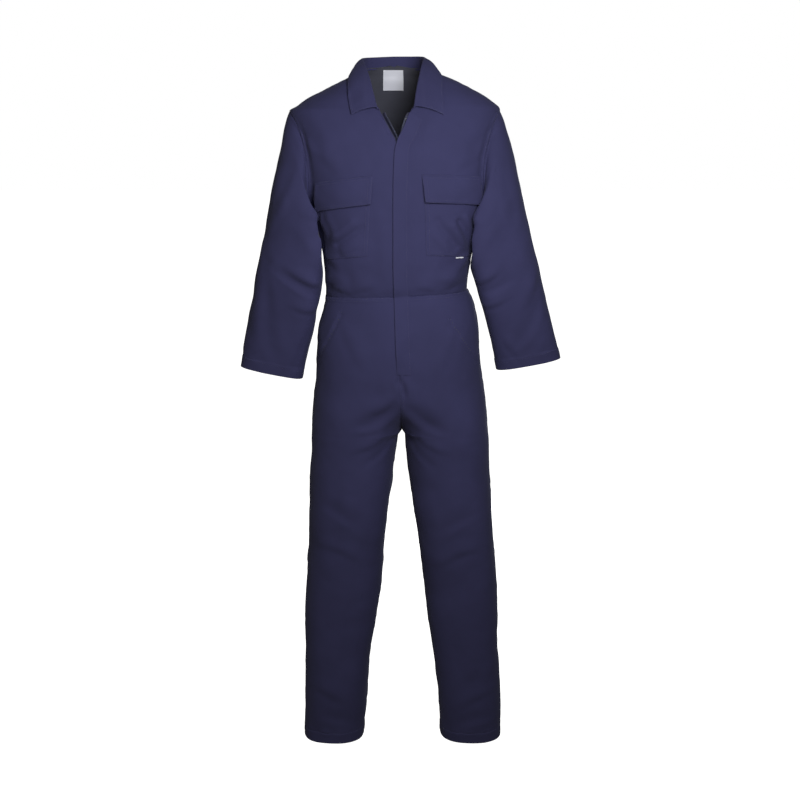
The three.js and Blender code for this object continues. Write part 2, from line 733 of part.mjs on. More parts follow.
// A wall laid on the front: its rows are at the given shares of the way down, as seen from the front.
function laidWall(downs, columns, place, lift, wall) {
  const sheet = (raised) => downs.map((down) => evenly(columns).map((over) => {
    const { side, x, z } = place(down, over);
    return overFront(side, x, z, lift(down, over) + (raised ? wall(down, over) : 0));
  }));
  return wallBetween(sheet(true), sheet(false));
}

// Chest pockets and their flaps, laid on the fronts between their four corners
function cornered({ side, top, bottom }) {
  return (down, over) => {
    const round = 1 - (1 - over) ** ROUND_SIDE;
    const topX = lerp(top[0], top[2], round);
    const bottomX = lerp(bottom[0], bottom[2], round);
    const topZ = lerp(top[1], top[3], over);
    const bottomZ = lerp(bottom[1], bottom[3], over);
    return { side, x: lerp(topX, bottomX, down), z: lerp(topZ, bottomZ, down) };
  };
}

for (const pocket of POCKETS) {
  const place = cornered(pocket);
  const { fold } = pocket;
  const foldLine = new THREE.Line3(point(fold.from[0], 0, fold.from[1]), point(fold.to[0], 0, fold.to[1]));
  const lift = (down, over) => {
    const middle = Math.sin(Math.PI * over) * Math.sin(Math.PI * down) * down ** POCKET_SAG;
    const { x, z } = place(down, over);
    const here = point(x, 0, z);
    const near = foldLine.closestPointToPoint(here, true, new THREE.Vector3());
    const away = near.distanceTo(here) / fold.width;
    return LAY_GAP + Math.max(POCKET_BULGE * middle + fold.lift * middle * Math.exp(-away * away), 0);
  };
  const shape = laidWall(evenly(POCKET_STEPS), POCKET_COLUMNS, place, lift, () => PATCH_WALL);
  addMesh(`pocket_${sideName(pocket.side)}`, shape, NAVY);
}

for (const flap of FLAPS) {
  const lift = (down, over) => (
    LAY_GAP + FLAP_LIFT * (1 - FLAP_LIFT_LOST * over ** 3) * Math.sin((Math.PI / 2) * down) ** FLAP_SWELL
  );
  const shape = laidWall(evenly(FLAP_STEPS), POCKET_COLUMNS, cornered(flap), lift, () => PATCH_WALL);
  addMesh(`pocket_flap_${sideName(flap.side)}`, shape, NAVY);
}

// Rows nearer than this to an end are left out
const ROW_CLEAR = 5;

// Shares of the way from one height down to another where the panels below have their rows
function sharesAtRows(top, bottom) {
  const heights = trunkRows().map((row) => row.z).reverse().concat(legHeights().slice(1));
  const between = heights.filter((z) => z < top - ROW_CLEAR && z > bottom + ROW_CLEAR);
  return [top, ...between, bottom].map((z) => (z - top) / (bottom - top));
}

// The fly flap, thickest at its free edge
const flyPlace = (down, over) => {
  const z = lerp(FLY_TOP_Z, FLY_BOTTOM_Z, down);
  const turned = THREE.MathUtils.clamp((z - FLY_TURN.z) / FLY_TURN.over, 0, 1);
  const x = FLY_EDGE('x', z) + FLY_WIDTH * over * lerp(1, FLY_TURN.narrower, turned);
  return { side: LEFT, x, z: z - FLY_WIDTH * over * FLY_TURN.slant * turned };
};
const flyLift = (down, over) => lerp(LAY_GAP + FLY_EDGE_LIFT, LAY_GAP, over);
const flyWall = (down, over) => lerp(FLY_WALL, FLY_SEWN_WALL, over);
const flyRows = sharesAtRows(FLY_TOP_Z, FLY_BOTTOM_Z);
addMesh('fly_flap', laidWall(flyRows, FLY_COLUMNS, flyPlace, flyLift, flyWall), NAVY);

// Zip tapes lie behind the edges of the fronts, and the chain closes them below the slider
const tapeRows = sharesAtRows(TAPE_TOP_Z, ZIP_BOTTOM_Z);
for (const side of [RIGHT, LEFT]) {
  const place = (down, over) => {
    const z = lerp(TAPE_TOP_Z, ZIP_BOTTOM_Z, down);
    const parted = THREE.MathUtils.clamp((z - ZIP_TOP_Z) / TAPE_PARTS_OVER, 0, 1);
    const shows = lerp(TAPE_SHOWS_CLOSED, TAPE_SHOWS[sideName(side)], parted);
    return { side, x: frontEdgeX(side, z) + side * (TAPE_WIDTH * over - shows), z };
  };
  const lift = () => -(WALL + TAPE_GAP + TAPE_WALL);
  addMesh(`zip_tape_${sideName(side)}`, laidWall(tapeRows, 2, place, lift, () => TAPE_WALL), TAPE);
}

const chainPlace = (down, over) => {
  const z = lerp(ZIP_TOP_Z, CHAIN_BOTTOM_Z, down);
  return { side: LEFT, x: FRONT_EDGE('seam', z) + CHAIN_HALF * (2 * over - 1), z };
};
const chainRows = sharesAtRows(ZIP_TOP_Z, CHAIN_BOTTOM_Z);
addMesh('zip_chain', laidWall(chainRows, 1, chainPlace, () => -CHAIN_DEPTH, () => CHAIN_WALL), METAL);

// The slider with its tab hanging straight down over the chain
const sliderPlace = (down, over) => {
  const z = SLIDER_TOP_Z - (SLIDER_LENGTH + TAB_LENGTH) * down;
  const wide = z > SLIDER_TOP_Z - SLIDER_LENGTH - SLIDER_SHOULDER ? SLIDER_HALF : TAB_HALF;
  return { side: LEFT, x: FRONT_EDGE('seam', z) + wide * (2 * over - 1), z };
};
const sliderRows = evenly(SLIDER_STEPS);
const sliderShape = laidWall(sliderRows, 1, sliderPlace, () => -SLIDER_DEPTH, () => SLIDER_WALL);
addMesh('zip_slider', sliderShape, METAL);

// The metal stop at the top of the zip, on the tape that shows past the wearer's left edge
const stopPlace = (down, over) => {
  const z = STOP.z - STOP.length * (down - 0.5);
  return { side: LEFT, x: frontEdgeX(LEFT, z) - STOP.in + STOP.half * (2 * over - 1), z };
};
addMesh('zip_top_stop', laidWall(evenly(2), 2, stopPlace, () => -STOP.depth, () => STOP.wall), METAL);

// The collar: stand, fold and fall in one turned-over wall
function collarStation(share) {
  const side = share < 0.5 ? RIGHT : LEFT;
  const along = 1 - Math.abs(2 * share - 1);
  const centre = COLLAR('centre', along);
  const foldX = centre + side * COLLAR('foldHalf', along);
  const foldZ = COLLAR('foldZ', along) + COLLAR_SLANT * foldX;
  const fold = point(foldX, COLLAR('foldY', along), foldZ);
  const edgeZ = COLLAR('edgeZ', along);
  const edgeX = COLLAR('edgeCentre', along) + side * COLLAR('edgeHalf', along);
  const face = along < COLLAR_PASSES_SHOULDER ? FRONT : BACK;
  const edge = overTrunk(side, face, trunkAngle(side, edgeX, edgeZ), edgeZ, COLLAR_LIFT);
  return { side, along, fold, edge };
}

// Times a height is halved in on
const HALVINGS = 30;

// The neckline seam under the collar, from the V to the middle of the back
function necklinePoint(side, along) {
  if (along <= COLLAR_AT_NECK_SIDE) {
    const z = lerp(SHOULDER_Z, NECK_SIDE_Z, along / COLLAR_AT_NECK_SIDE);
    return trunkPoint(side, FRONT, trunkAngle(side, frontEdgeX(side, z), z), z);
  }
  const turn = ((along - COLLAR_AT_NECK_SIDE) / (1 - COLLAR_AT_NECK_SIDE)) * (Math.PI / 2);
  const half = BACK_NECK('half', NECK_SIDE_Z) * Math.cos(turn);
  let low = NECK_SIDE_Z;
  let high = NECK_BACK_Z;
  for (let i = 0; i < HALVINGS; i += 1) {
    const middle = (low + high) / 2;
    if (BACK_NECK('half', middle) > half) low = middle;
    else high = middle;
  }
  return trunkPoint(side, BACK, trunkAngle(side, TRUNK('centre', low) + side * half, low), low);
}

const collarGrid = [];
for (let k = 0; k <= 2 * COLLAR_HALF_STEPS; k += 1) {
  const share = k / (2 * COLLAR_HALF_STEPS);
  const { side, along, fold, edge } = collarStation(share);
  const seam = necklinePoint(side, along);
  const middle = seam.clone().add(edge).multiplyScalar(0.5);
  const up = fold.clone().sub(middle).normalize();
  const out = edge.clone().sub(seam);
  out.addScaledVector(up, -out.dot(up)).normalize();
  const foot = seam.clone().addScaledVector(fold.clone().sub(seam).normalize(), COLLAR('gap', along));
  const foldIn = fold.clone().addScaledVector(out, -COLLAR_FOLD_RADIUS);
  const foldTop = fold.clone().addScaledVector(up, COLLAR_FOLD_RADIUS);
  const foldOut = fold.clone().addScaledVector(out, COLLAR_FOLD_RADIUS);
  const row = [foot, foot.clone().lerp(foldIn, 0.5), foldIn, foldTop, foldOut];
  const outAndUp = up.clone().add(out).normalize();
  const bulge = foldOut.clone().lerp(edge, 0.5).addScaledVector(outAndUp, COLLAR_BULGE);
  const fall = new THREE.QuadraticBezierCurve3(foldOut, bulge, edge);
  for (let i = 1; i <= FALL_STEPS; i += 1) row.push(fall.getPoint(i / FALL_STEPS));
  collarGrid.push(row);
}
const COLLAR_INSIDE = point(0, 0, -20);
const collarNormals = gridNormals({ grid: collarGrid, inside: COLLAR_INSIDE });
const collarSide = (height) => collarGrid.map((row, i) => row.map((p, j) => (
  p.clone().addScaledVector(collarNormals[i][j].clone().normalize(), height)
)));
addMesh('collar', wallBetween(collarSide(COLLAR_WALL / 2), collarSide(-COLLAR_WALL / 2)), NAVY);

// The blank neck label inside the back, and the blank tab at the foot of the left pocket
function labelSide(depth) {
  const rows = [];
  for (const down of evenly(LABEL.rows)) {
    const z = lerp(LABEL.top, LABEL.bottom, down);
    const row = [];
    for (const over of evenly(LABEL.columns)) {
      const x = LABEL.centre + LABEL.half * (2 * over - 1);
      const side = x < TRUNK('centre', z) ? RIGHT : LEFT;
      row.push(overTrunk(side, BACK, trunkAngle(side, x, z), z, -depth));
    }
    rows.push(row);
  }
  return rows;
}
const labelDepth = WALL + LABEL.gap;
addMesh('neck_label', wallBetween(labelSide(labelDepth), labelSide(labelDepth + LABEL.wall)), WHITE);

const tabPlace = (down, over) => ({
  side: LEFT,
  x: POCKET_TAB.x + POCKET_TAB.half * (2 * over - 1),
  z: POCKET_TAB.z - POCKET_TAB.height * down,
});
addMesh('pocket_tab', laidWall(evenly(1), 3, tabPlace, () => LAY_GAP, () => POCKET_TAB.wall), WHITE);

export default suit;
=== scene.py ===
"""A boiler suit in navy twill, dressed piece by piece round its CAD part, for Blender 4.5."""

import math

import bpy
import mathutils
import numpy as np
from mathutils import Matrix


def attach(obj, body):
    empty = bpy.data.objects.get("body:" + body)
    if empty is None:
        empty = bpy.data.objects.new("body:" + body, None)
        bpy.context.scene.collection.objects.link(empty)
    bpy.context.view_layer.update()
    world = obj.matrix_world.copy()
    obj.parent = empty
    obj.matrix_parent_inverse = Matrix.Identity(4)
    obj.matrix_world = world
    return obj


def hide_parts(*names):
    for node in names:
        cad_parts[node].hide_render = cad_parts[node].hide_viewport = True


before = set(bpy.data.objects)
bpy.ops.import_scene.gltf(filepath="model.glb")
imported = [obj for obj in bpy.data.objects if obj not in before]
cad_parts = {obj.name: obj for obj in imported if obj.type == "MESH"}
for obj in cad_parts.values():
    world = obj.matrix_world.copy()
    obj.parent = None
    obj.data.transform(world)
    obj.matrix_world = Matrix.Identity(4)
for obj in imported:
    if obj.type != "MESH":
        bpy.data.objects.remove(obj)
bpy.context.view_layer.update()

# Bodice fronts
# Two panels of navy polycotton twill, 245 g per square metre, run from the waist seam to the
# shoulders. Each is cut away for the armhole and the open V, and its seams are sewn with twin needles.
MM = 0.001

# All sizes are in mm from the neck base: x towards the wearer's left, y to the back and z up
RIGHT, LEFT = -1, 1
FRONT, BACK = -1, 1
SIDE_NAMES = {RIGHT: "right", LEFT: "left"}
FACE_NAMES = {FRONT: "front", BACK: "back"}
WAIST_Z = -485
ARMPIT_Z = -290
SHOULDER_Z = -72
NECK_SIDE_Z = 20

# The suit is a squared ellipse all round, with armholes cut into it and a waist seam that slants a little
SQUARENESS = 2.5
ARMHOLE_CUT = 0.115
ARMHOLE_EASE = 1.57
WAIST_TILT = 0.04
WAIST_TILT_REACH = 60

# Distances from a seam where the cloth has a line of points: two of them carry stitches
SEAM_LINES = np.array([0, 0.8, 1.9, 3.2, 5.3, 7.4, 8.6, 10.2, 13.5])
STITCHED_LINES = (2, 5)
SEAM_CLEAR = 18
CLOTH = 1.0
WELT = 0.8

BODICE_STEPS = 38
ARMHOLE_STEPS = 46
SHOULDER_STEPS = 30
BODICE_COLUMNS = 46
DENSE = 260
TINY = 1e-9


def table(columns, rows):
    """Reads smooth values between the rows of a table, by the name of a column."""
    names = columns.split()
    rows = np.array(sorted(rows), float)
    places = rows[:, 0]
    gaps = np.diff(places)
    chords = np.diff(rows, axis=0) / gaps[:, None]
    rising = chords[:-1] * chords[1:] > 0
    both = np.where(rising, chords[:-1] + chords[1:], 1)
    inner = np.where(rising, 2 * chords[:-1] * chords[1:] / both, 0)
    slopes = np.concatenate([chords[:1], inner, chords[-1:]])

    def read(name, place):
        column = names.index(name)
        at = np.clip(place, places[0], places[-1])
        i = np.clip(np.searchsorted(places, at) - 1, 0, len(gaps) - 1)
        t = (at - places[i]) / gaps[i]
        bend = t * t * (3 - 2 * t)
        start = t * (1 - t) ** 2 * gaps[i] * slopes[i, column]
        end = t * t * (t - 1) * gaps[i] * slopes[i + 1, column]
        return rows[i, column] * (1 - bend) + rows[i + 1, column] * bend + start + end

    return read


trunk = table("z centre half front back", [
    (-485, 6.5, 165, 119, 123),
    (-462, 6.5, 166.5, 126, 129),
    (-430, 7, 169.5, 129, 131),
    (-380, 8, 176, 129, 128),
    (-330, 7.5, 190, 128, 124),
    (-290, 6.5, 203, 127, 121),
    (-240, 5.5, 216, 126, 120),
    (-180, 5, 226, 122, 119),
    (-120, 4.5, 234, 109, 113),
    (-72, 3, 240, 92, 103),
    (-60, 10, 228, 87, 100),
    (-42, 11, 203, 78, 96),
    (-25, 11.5, 170, 67, 91),
    (-11, 11, 143, 57, 87),
    (2, 8, 116, 46, 83),
    (11, 4, 95, 38, 81),
    (20, 1, 76, 30, 78),
    (31.5, 0, 67, 30, 74),
])
front_edge = table("z seam right left", [
    (-811, 19.5, 19.5, 19.5),
    (-685, 13.5, 13.5, 13.5),
    (-662, 14, 14, 14),
    (-640, 14.5, 9.5, 19.5),
    (-485, 14.5, 9.5, 19.5),
    (-400, 14, 9, 19),
    (-165, 14, 9, 19),
    (-135.7, 12, 4, 17.5),
    (-120, 9.5, -5, 21.5),
    (-104, 7, -13.5, 26),
    (-88, 5.5, -22.5, 31.5),
    (-72, 4, -30.5, 40),
    (-45, 3, -49.5, 57.5),
    (-15, 3, -63.5, 70.5),
    (8, 2, -72, 76),
    (20, 1, -74.2, 76.2),
])


def lerp(low, high, t):
    """The value that lies a share of the way from one to another."""
    return low + (high - low) * t


def ease(value, low, high):
    """0 below one value, 1 above another, and soft between."""
    t = np.clip((value - low) / (high - low), 0, 1)
    return t * t * (3 - 2 * t)


def across(angle):
    """The sideways share of a squared ellipse."""
    return np.sign(np.cos(angle)) * np.abs(np.cos(angle)) ** (2 / SQUARENESS)


def deep(angle):
    """The front-to-back share of a squared ellipse."""
    return np.abs(np.sin(angle)) ** (2 / SQUARENESS)


def tilted(x, y, z):
    """Joins coordinates to points, and slants the rows near the waist seam."""
    near = np.exp(-(((z - WAIST_Z) / WAIST_TILT_REACH) ** 2))
    return np.stack(np.broadcast_arrays(x, y, z + WAIST_TILT * x * near), -1)


def trunk_point(side, face, angle, z):
    """A point of the bodice: angle 0 is the side seam or the shoulder, a right angle the middle."""
    x = trunk("centre", z) + side * trunk("half", z) * across(angle)
    y = face * trunk(FACE_NAMES[face], z) * deep(angle)
    return tilted(x, y, z)


def trunk_angle(side, x, z):
    """The angle of the bodice point that lies at x."""
    share = np.clip(side * (x - trunk("centre", z)) / trunk("half", z), -1, 1)
    return np.arccos(np.sign(share) * np.abs(share) ** (SQUARENESS / 2))


def bodice_rows():
    """Heights of the bodice rows from the waist up, and the angle where each row ends."""
    side = np.linspace(WAIST_Z + SEAM_CLEAR, ARMPIT_Z - 4, BODICE_STEPS)
    waist = np.concatenate([WAIST_Z + SEAM_LINES, side])
    turn = np.pi * np.arange(ARMHOLE_STEPS) / ARMHOLE_STEPS
    armhole = lerp(ARMPIT_Z, SHOULDER_Z, (1 - np.cos(turn)) / 2)
    cut = np.arccos((1 - ARMHOLE_CUT * np.sin(turn) ** ARMHOLE_EASE) ** (SQUARENESS / 2))
    shoulder = np.linspace(SHOULDER_Z, NECK_SIDE_Z, SHOULDER_STEPS)
    heights = np.concatenate([waist, armhole, shoulder])
    outer = np.concatenate([0 * waist, cut, 0 * shoulder])
    return heights, outer


# A short row gives its seam lines no more than this share of its length
SEAM_LINES_SHARE = 0.8


def spaced(dense, first, last, count):
    """Draws the rows of a dense grid again: points at given distances from both ends, even between."""
    steps = np.linalg.norm(np.diff(dense, axis=1), axis=2)
    runs = np.concatenate([np.zeros((len(dense), 1)), np.cumsum(steps, axis=1)], axis=1)
    rows = []
    for row, run in zip(dense, runs):
        room = min(1, SEAM_LINES_SHARE * run[-1] / max(first[-1] + last[-1], TINY))
        start, end = first * room, run[-1] - last[::-1] * room
        between = np.linspace(start[-1], end[0], count + 2)[1:-1]
        at = np.concatenate([start, between, end])
        rows.append(np.stack([np.interp(at, run, row[:, k]) for k in range(3)], -1))
    return np.array(rows)


def runs_from_edges(grid):
    """Distance of each point of a grid from its first and last column and its first and last row."""
    over = np.linalg.norm(np.diff(grid, axis=1), axis=2)
    up = np.linalg.norm(np.diff(grid, axis=0), axis=2)
    start = np.pad(np.cumsum(over, axis=1), ((0, 0), (1, 0)))
    low = np.pad(np.cumsum(up, axis=0), ((1, 0), (0, 0)))
    return start, start[:, -1:] - start, low, low[-1:] - low


def grid_normals(grid, inside, ring=False):
    """Normals of a grid of points that look away from a point inside."""
    if ring:
        over = np.roll(grid, -1, axis=1) - np.roll(grid, 1, axis=1)
    else:
        over = np.gradient(grid, axis=1)
    normals = np.cross(over, np.gradient(grid, axis=0))
    normals /= np.maximum(np.linalg.norm(normals, axis=2, keepdims=True), TINY)
    return normals * np.sign(np.sum(normals * (grid - inside)))


LATTICE = 32
lattice = np.random.default_rng(5).standard_normal((LATTICE, LATTICE, LATTICE))


def soft_noise(points, cell):
    """Smooth unevenness of the cloth with humps about one cell wide."""
    place = points / cell + 1000
    whole = np.floor(place).astype(int)
    t = place - whole
    t = t * t * (3 - 2 * t)
    total = 0
    for corner in np.ndindex(2, 2, 2):
        share = np.prod(np.where(corner, t, 1 - t), axis=-1)
        i, j, k = np.moveaxis((whole + corner) % LATTICE, -1, 0)
        total = total + share * lattice[i, j, k]
    return total


# A crease tapers to its ends, leans downhill and has a shallow trough on both sides
CREASE_TAPER = 0.7
CREASE_LEAN = 0.3
CREASE_END_WIDTH = 0.6
TROUGH_DEPTH, TROUGH_AT, TROUGH_WIDTH = 0.3, 1.7, 0.8
CREASE_POINTS = 9


def hump(distance, middle, width):
    """1 at a distance, and falling off softly on both sides of it."""
    return np.exp(-((distance - middle) / width) ** 2)


def crease_lift(points, creases):
    """How far soft folds push the cloth out. A crease is a bowed line with a width and a height."""
    lift = np.zeros(points.shape[:-1])
    for line, width, height in creases:
        low, high = line.min(0) - 3 * width, line.max(0) + 3 * width
        near = np.all((points > low) & (points < high), axis=-1)
        if not near.any():
            continue
        p = points[near]
        best = np.full(len(p), 1e9)
        share = np.zeros(len(p))
        drop = np.zeros(len(p))
        for k, (a, b) in enumerate(zip(line[:-1], line[1:])):
            t = np.clip((p - a) @ (b - a) / max((b - a) @ (b - a), TINY), 0, 1)
            gap = p - (a + t[:, None] * (b - a))
            distance = np.linalg.norm(gap, axis=1)
            closer = distance < best
            best = np.where(closer, distance, best)
            share = np.where(closer, (k + t) / (len(line) - 1), share)
            drop = np.where(closer, -gap[:, 2], drop)
        strength = np.sin(np.pi * np.clip(share, 0.03, 0.97)) ** CREASE_TAPER
        lean = 1 - CREASE_LEAN * np.tanh(drop / width)
        away = best / (width * lean * lerp(CREASE_END_WIDTH, 1, strength))
        ridge = hump(away, 0, 1) - TROUGH_DEPTH * hump(away, TROUGH_AT, TROUGH_WIDTH)
        lift[near] += height * strength * ridge
    return lift


def oval_point(face, x, z, centre, half, depth):
    """The point at x on the front or the back of a squared ellipse."""
    share = min(abs(x - centre) / half, 0.995)
    return tilted(x, face * depth * (1 - share ** SQUARENESS) ** (1 / SQUARENESS), z)


def bodice_point(face, x, z):
    """A point of the bodice, seen from the front or the back."""
    return oval_point(face, x, z, trunk("centre", z), trunk("half", z), trunk(FACE_NAMES[face], z))


def bowed_creases(point_at, rows):
    """Creases laid on a form, from rows of face, two ends as x and z, bow, width and lift."""
    lines = []
    for face, x0, z0, x1, z1, bow, width, lift in rows:
        ends = point_at(face, x0, z0), point_at(face, x1, z1)
        t = np.linspace(0, 1, CREASE_POINTS)
        x, z = lerp(x0, x1, t), lerp(z0, z1, t)
        bend = 4 * t * (1 - t) * bow * np.linalg.norm(ends[1] - ends[0])
        run = math.hypot(x1 - x0, z1 - z0)
        x, z = x - bend * (z1 - z0) / run, z + bend * (x1 - x0) / run
        line = np.array([point_at(face, xi, zi) for xi, zi in zip(x, z)])
        lines.append((line, width, lift))
    return lines


BODICE_CREASES = bowed_creases(bodice_point, [
    (FRONT, -160, -452, -105, -472, 0.1, 15, 5),
    (FRONT, -150, -478, -112, -456, 0.2, 9, -3),
    (FRONT, -95, -470, -40, -458, 0.15, 14, 2.6),
    (FRONT, 165, -450, 112, -468, -0.1, 15, 4.5),
    (FRONT, 150, -430, 92, -446, 0.1, 13, 2.4),
    (FRONT, 95, -474, 45, -462, -0.15, 13, 2.2),
    (FRONT, -168, -395, -120, -425, 0.1, 13, 2.6),
    (FRONT, 172, -388, 140, -425, 0.1, 12, 3.2),
    (FRONT, -196, -300, -150, -350, 0.12, 13, 3.4),
    (FRONT, 205, -300, 184, -352, -0.1, 12, 3.4),
    (FRONT, -190, -150, -120, -208, 0.1, 15, 2.6),
    (FRONT, -205, -120, -160, -175, 0.12, 13, -2.4),
    (FRONT, 200, -165, 130, -206, -0.1, 15, 2.4),
    (FRONT, 214, -120, 172, -180, -0.12, 13, -2.2),
    (FRONT, 201, -262, 178, -398, 0.03, 8, -7),
    (FRONT, -189, -262, -164, -402, -0.03, 9, -7),
    (FRONT, -60, -120, -22, -200, 0.05, 15, 1.6),
    (FRONT, 70, -118, 48, -206, -0.05, 15, 1.8),
    (FRONT, -120, -60, -60, -120, 0.1, 18, 1.8),
    (FRONT, 130, -60, 70, -118, -0.1, 18, 1.8),
    (FRONT, -35, -285, -24, -430, 0.04, 13, 1.6),
    (FRONT, 56, -290, 58, -440, -0.04, 13, 1.4),
    (BACK, -70, -440, 80, -452, -0.06, 18, 4),
    (BACK, -150, -446, -95, -462, 0.1, 16, 4),
    (BACK, 155, -440, 105, -458, -0.1, 16, 4),
    (BACK, -110, -466, -20, -472, -0.1, 11, -2.6),
    (BACK, 35, -470, 118, -472, 0.1, 11, -2.6),
    (BACK, -172, -300, -120, -380, 0.14, 14, 3.4),
    (BACK, 182, -300, 132, -385, -0.14, 14, 3.4),
    (BACK, -188, -170, -110, -270, 0.1, 17, 3),
    (BACK, 196, -165, 122, -275, -0.1, 17, 3),
    (BACK, -205, -120, -150, -200, 0.1, 13, -2.6),
    (BACK, 214, -120, 160, -205, -0.1, 13, -2.6),
    (BACK, -60, -60, -45, -230, 0.05, 19, 1.8),
    (BACK, 62, -70, 58, -250, -0.05, 19, 1.8),
    (BACK, -40, -340, 60, -372, -0.1, 16, 2.4),
    (BACK, -120, -405, -30, -418, -0.12, 15, 2.8),
    (BACK, 130, -398, 50, -420, 0.12, 15, 2.6),
])
BODICE_INSIDE = np.array([0, 0, -250])

# Along the open V the edge dips beside the zip tape
V_FOOT, V_HEAD = (-146, -130), (-76, -60)
V_DIP, V_DIP_AT, V_DIP_WIDTH = 2, 3, 5


def in_v(z):
    """1 along the open V, and 0 away from it."""
    return ease(z, *V_FOOT) * (1 - ease(z, *V_HEAD))


def v_dip(from_edge, z):
    """How deep the cloth sinks beside the edge of the open V."""
    return V_DIP * in_v(z) * hump(from_edge, V_DIP_AT, V_DIP_WIDTH)


VALLEY_DEPTH, VALLEY_AT, VALLEY_WIDTH = 3.4, 6, 7
VALLEY_ENDS = (SHOULDER_Z - 60, SHOULDER_Z - 15)


def armhole_valley(distance, z):
    """How deep the cloth sinks on both sides of an armhole seam, below the tip of the shoulder."""
    below_tip = 1 - ease(z, *VALLEY_ENDS)
    return VALLEY_DEPTH * below_tip * hump(distance, VALLEY_AT, VALLEY_WIDTH) * ease(distance, 0, 3)


WELT_ENDS = (8.2, 10.4)
STITCH_PRESS, STITCH_PRESS_WIDTH = 0.4, 0.9
SEAM_GROOVE, SEAM_GROOVE_WIDTH = 0.6, 0.8


def seam_relief(distance, welt):
    """Height of the cloth beside a seam: the doubled welt stands up, two stitch lines press it in."""
    doubled = WELT * (1 - ease(distance, *WELT_ENDS)) * ease(distance, 0, 1)
    pressed = sum(hump(distance, SEAM_LINES[k], STITCH_PRESS_WIDTH) for k in STITCHED_LINES)
    groove = hump(distance, SEAM_GROOVE_WIDTH, SEAM_GROOVE_WIDTH)
    return welt * (doubled - STITCH_PRESS * pressed) - SEAM_GROOVE * groove


PUCKER_HEIGHT, PUCKER_LENGTH, PUCKER_REACH = 0.55, 11, 13


def puckered(grid, distance):
    """Small waves that sewing draws into the cloth beside a seam."""
    waves = PUCKER_HEIGHT * soft_noise(grid, PUCKER_LENGTH)
    return waves * hump(distance, 0, PUCKER_REACH) * ease(distance, 0, 2)


# Height, length and shift of the waves in cloth that hangs: long, middling and short ones
CLOTH_WAVES = ((1.5, 85, 0), (0.7, 38, 300), (0.22, 17, 0))


def uneven(grid):
    """The gentle unevenness that all the cloth has."""
    return sum(height * soft_noise(grid + shift, length) for height, length, shift in CLOTH_WAVES)


SHARP_ANGLE = 62


def cloth_piece(name, outer, inner, material, worn=None, ring=False, straight=0.5, reverse=None):
    """A closed thin shell between two grids of points, in mm, with its grain as a UV map.

    The grain is drawn from the straight edge of the panel: 0 is its first column and 1 its last.
    The inner side can have a material of its own, the reverse of the cloth.
    """
    rows, columns = outer.shape[:2]
    cells = columns if ring else columns - 1
    flat = np.arange(rows * (cells + 1)).reshape(rows, cells + 1)
    i, j = np.divmod(flat, cells + 1)
    point_of = (i * columns + j % columns).ravel()
    a, b, c, d = flat[:-1, :-1], flat[:-1, 1:], flat[1:, 1:], flat[1:, :-1]
    under = rows * (cells + 1)
    faces = [np.stack([a, b, c, d], -1), np.stack([d, c, b, a], -1) + under]
    edges = [(b[0], a[0]), (d[-1], c[-1])]
    if not ring:
        edges += [(a[:, 0], d[:, 0]), (c[:, -1], b[:, -1])]
    faces += [np.stack([p, q, q + under, p + under], -1) for p, q in edges]
    corners = np.concatenate([f.reshape(-1, 4) for f in faces])
    vertex_of = np.concatenate([point_of, point_of + rows * columns])
    vertices = np.concatenate([outer.reshape(-1, 3), inner.reshape(-1, 3)]) * MM
    quads = vertex_of[corners]
    p, q, r, s = (vertices[quads[:, k]] for k in range(4))
    volume = np.sum(p * np.cross(q, r)) + np.sum(p * np.cross(r, s))
    if volume < 0:
        quads, corners = quads[:, ::-1], corners[:, ::-1]
    mesh = bpy.data.meshes.new(name)
    mesh.from_pydata(vertices.tolist(), [], quads.tolist())
    closed = np.concatenate([outer, outer[:, :1]], axis=1) if ring else outer
    start, _, low, _ = runs_from_edges(closed)
    grain = np.stack([start - start[:, -1:] * straight, low], -1).reshape(-1, 2) * MM
    grain = np.concatenate([grain, grain])
    mesh.uv_layers.new(name="grain").data.foreach_set("uv", grain[corners.ravel()].ravel())
    rubbed = np.zeros((rows, columns)) if worn is None else worn
    layer = mesh.attributes.new("rubbed", "FLOAT", "POINT")
    layer.data.foreach_set("value", np.tile(rubbed.ravel(), 2).astype(np.float32))
    mesh.shade_smooth()
    mesh.set_sharp_from_angle(angle=math.radians(SHARP_ANGLE))
    mesh.materials.append(material)
    if reverse:
        mesh.materials.append(reverse)
        sides = np.zeros(len(quads), dtype=np.int32)
        sides[a.size:2 * a.size] = 1
        mesh.polygons.foreach_set("material_index", sides)
    piece = bpy.data.objects.new(name, mesh)
    bpy.context.scene.collection.objects.link(piece)
    return piece


def linear(code):
    """The linear colour of an sRGB hex value."""
    channels = [int(code[k:k + 2], 16) / 255 for k in (1, 3, 5)]
    return [v / 12.92 if v <= 0.04045 else ((v + 0.055) / 1.055) ** 2.4 for v in channels] + [1]


# Inputs and outputs that go by number: the two ends of a range, and the colours of a mix
FROM_LOW, FROM_HIGH, TO_LOW, TO_HIGH = 1, 2, 3, 4
FIRST_COLOUR, SECOND_COLOUR, MIXED_COLOUR = 6, 7, 2


def add(tree, kind, settings=None, links=None):
    """Adds a node with its settings and its links."""
    node = tree.nodes.new(kind)
    for name, value in (settings or {}).items():
        if hasattr(node, str(name)):
            setattr(node, name, value)
        else:
            node.inputs[name].default_value = value
    for name, source in (links or {}).items():
        tree.links.new(source, node.inputs[name])
    return node


def new_material(name):
    """An empty material with its node tree."""
    material = bpy.data.materials.new(name)
    material.use_nodes = True
    material.node_tree.nodes.clear()
    return material, material.node_tree


# At scale 1 a wave texture draws 20 waves over 2 pi metres
WAVES_PER_TURN = 20
TWILL_ANGLE = 27


def band_scale(spacing):
    """The scale that sets the bands of a wave texture some mm apart."""
    return 2 * math.pi / (WAVES_PER_TURN * spacing * MM)


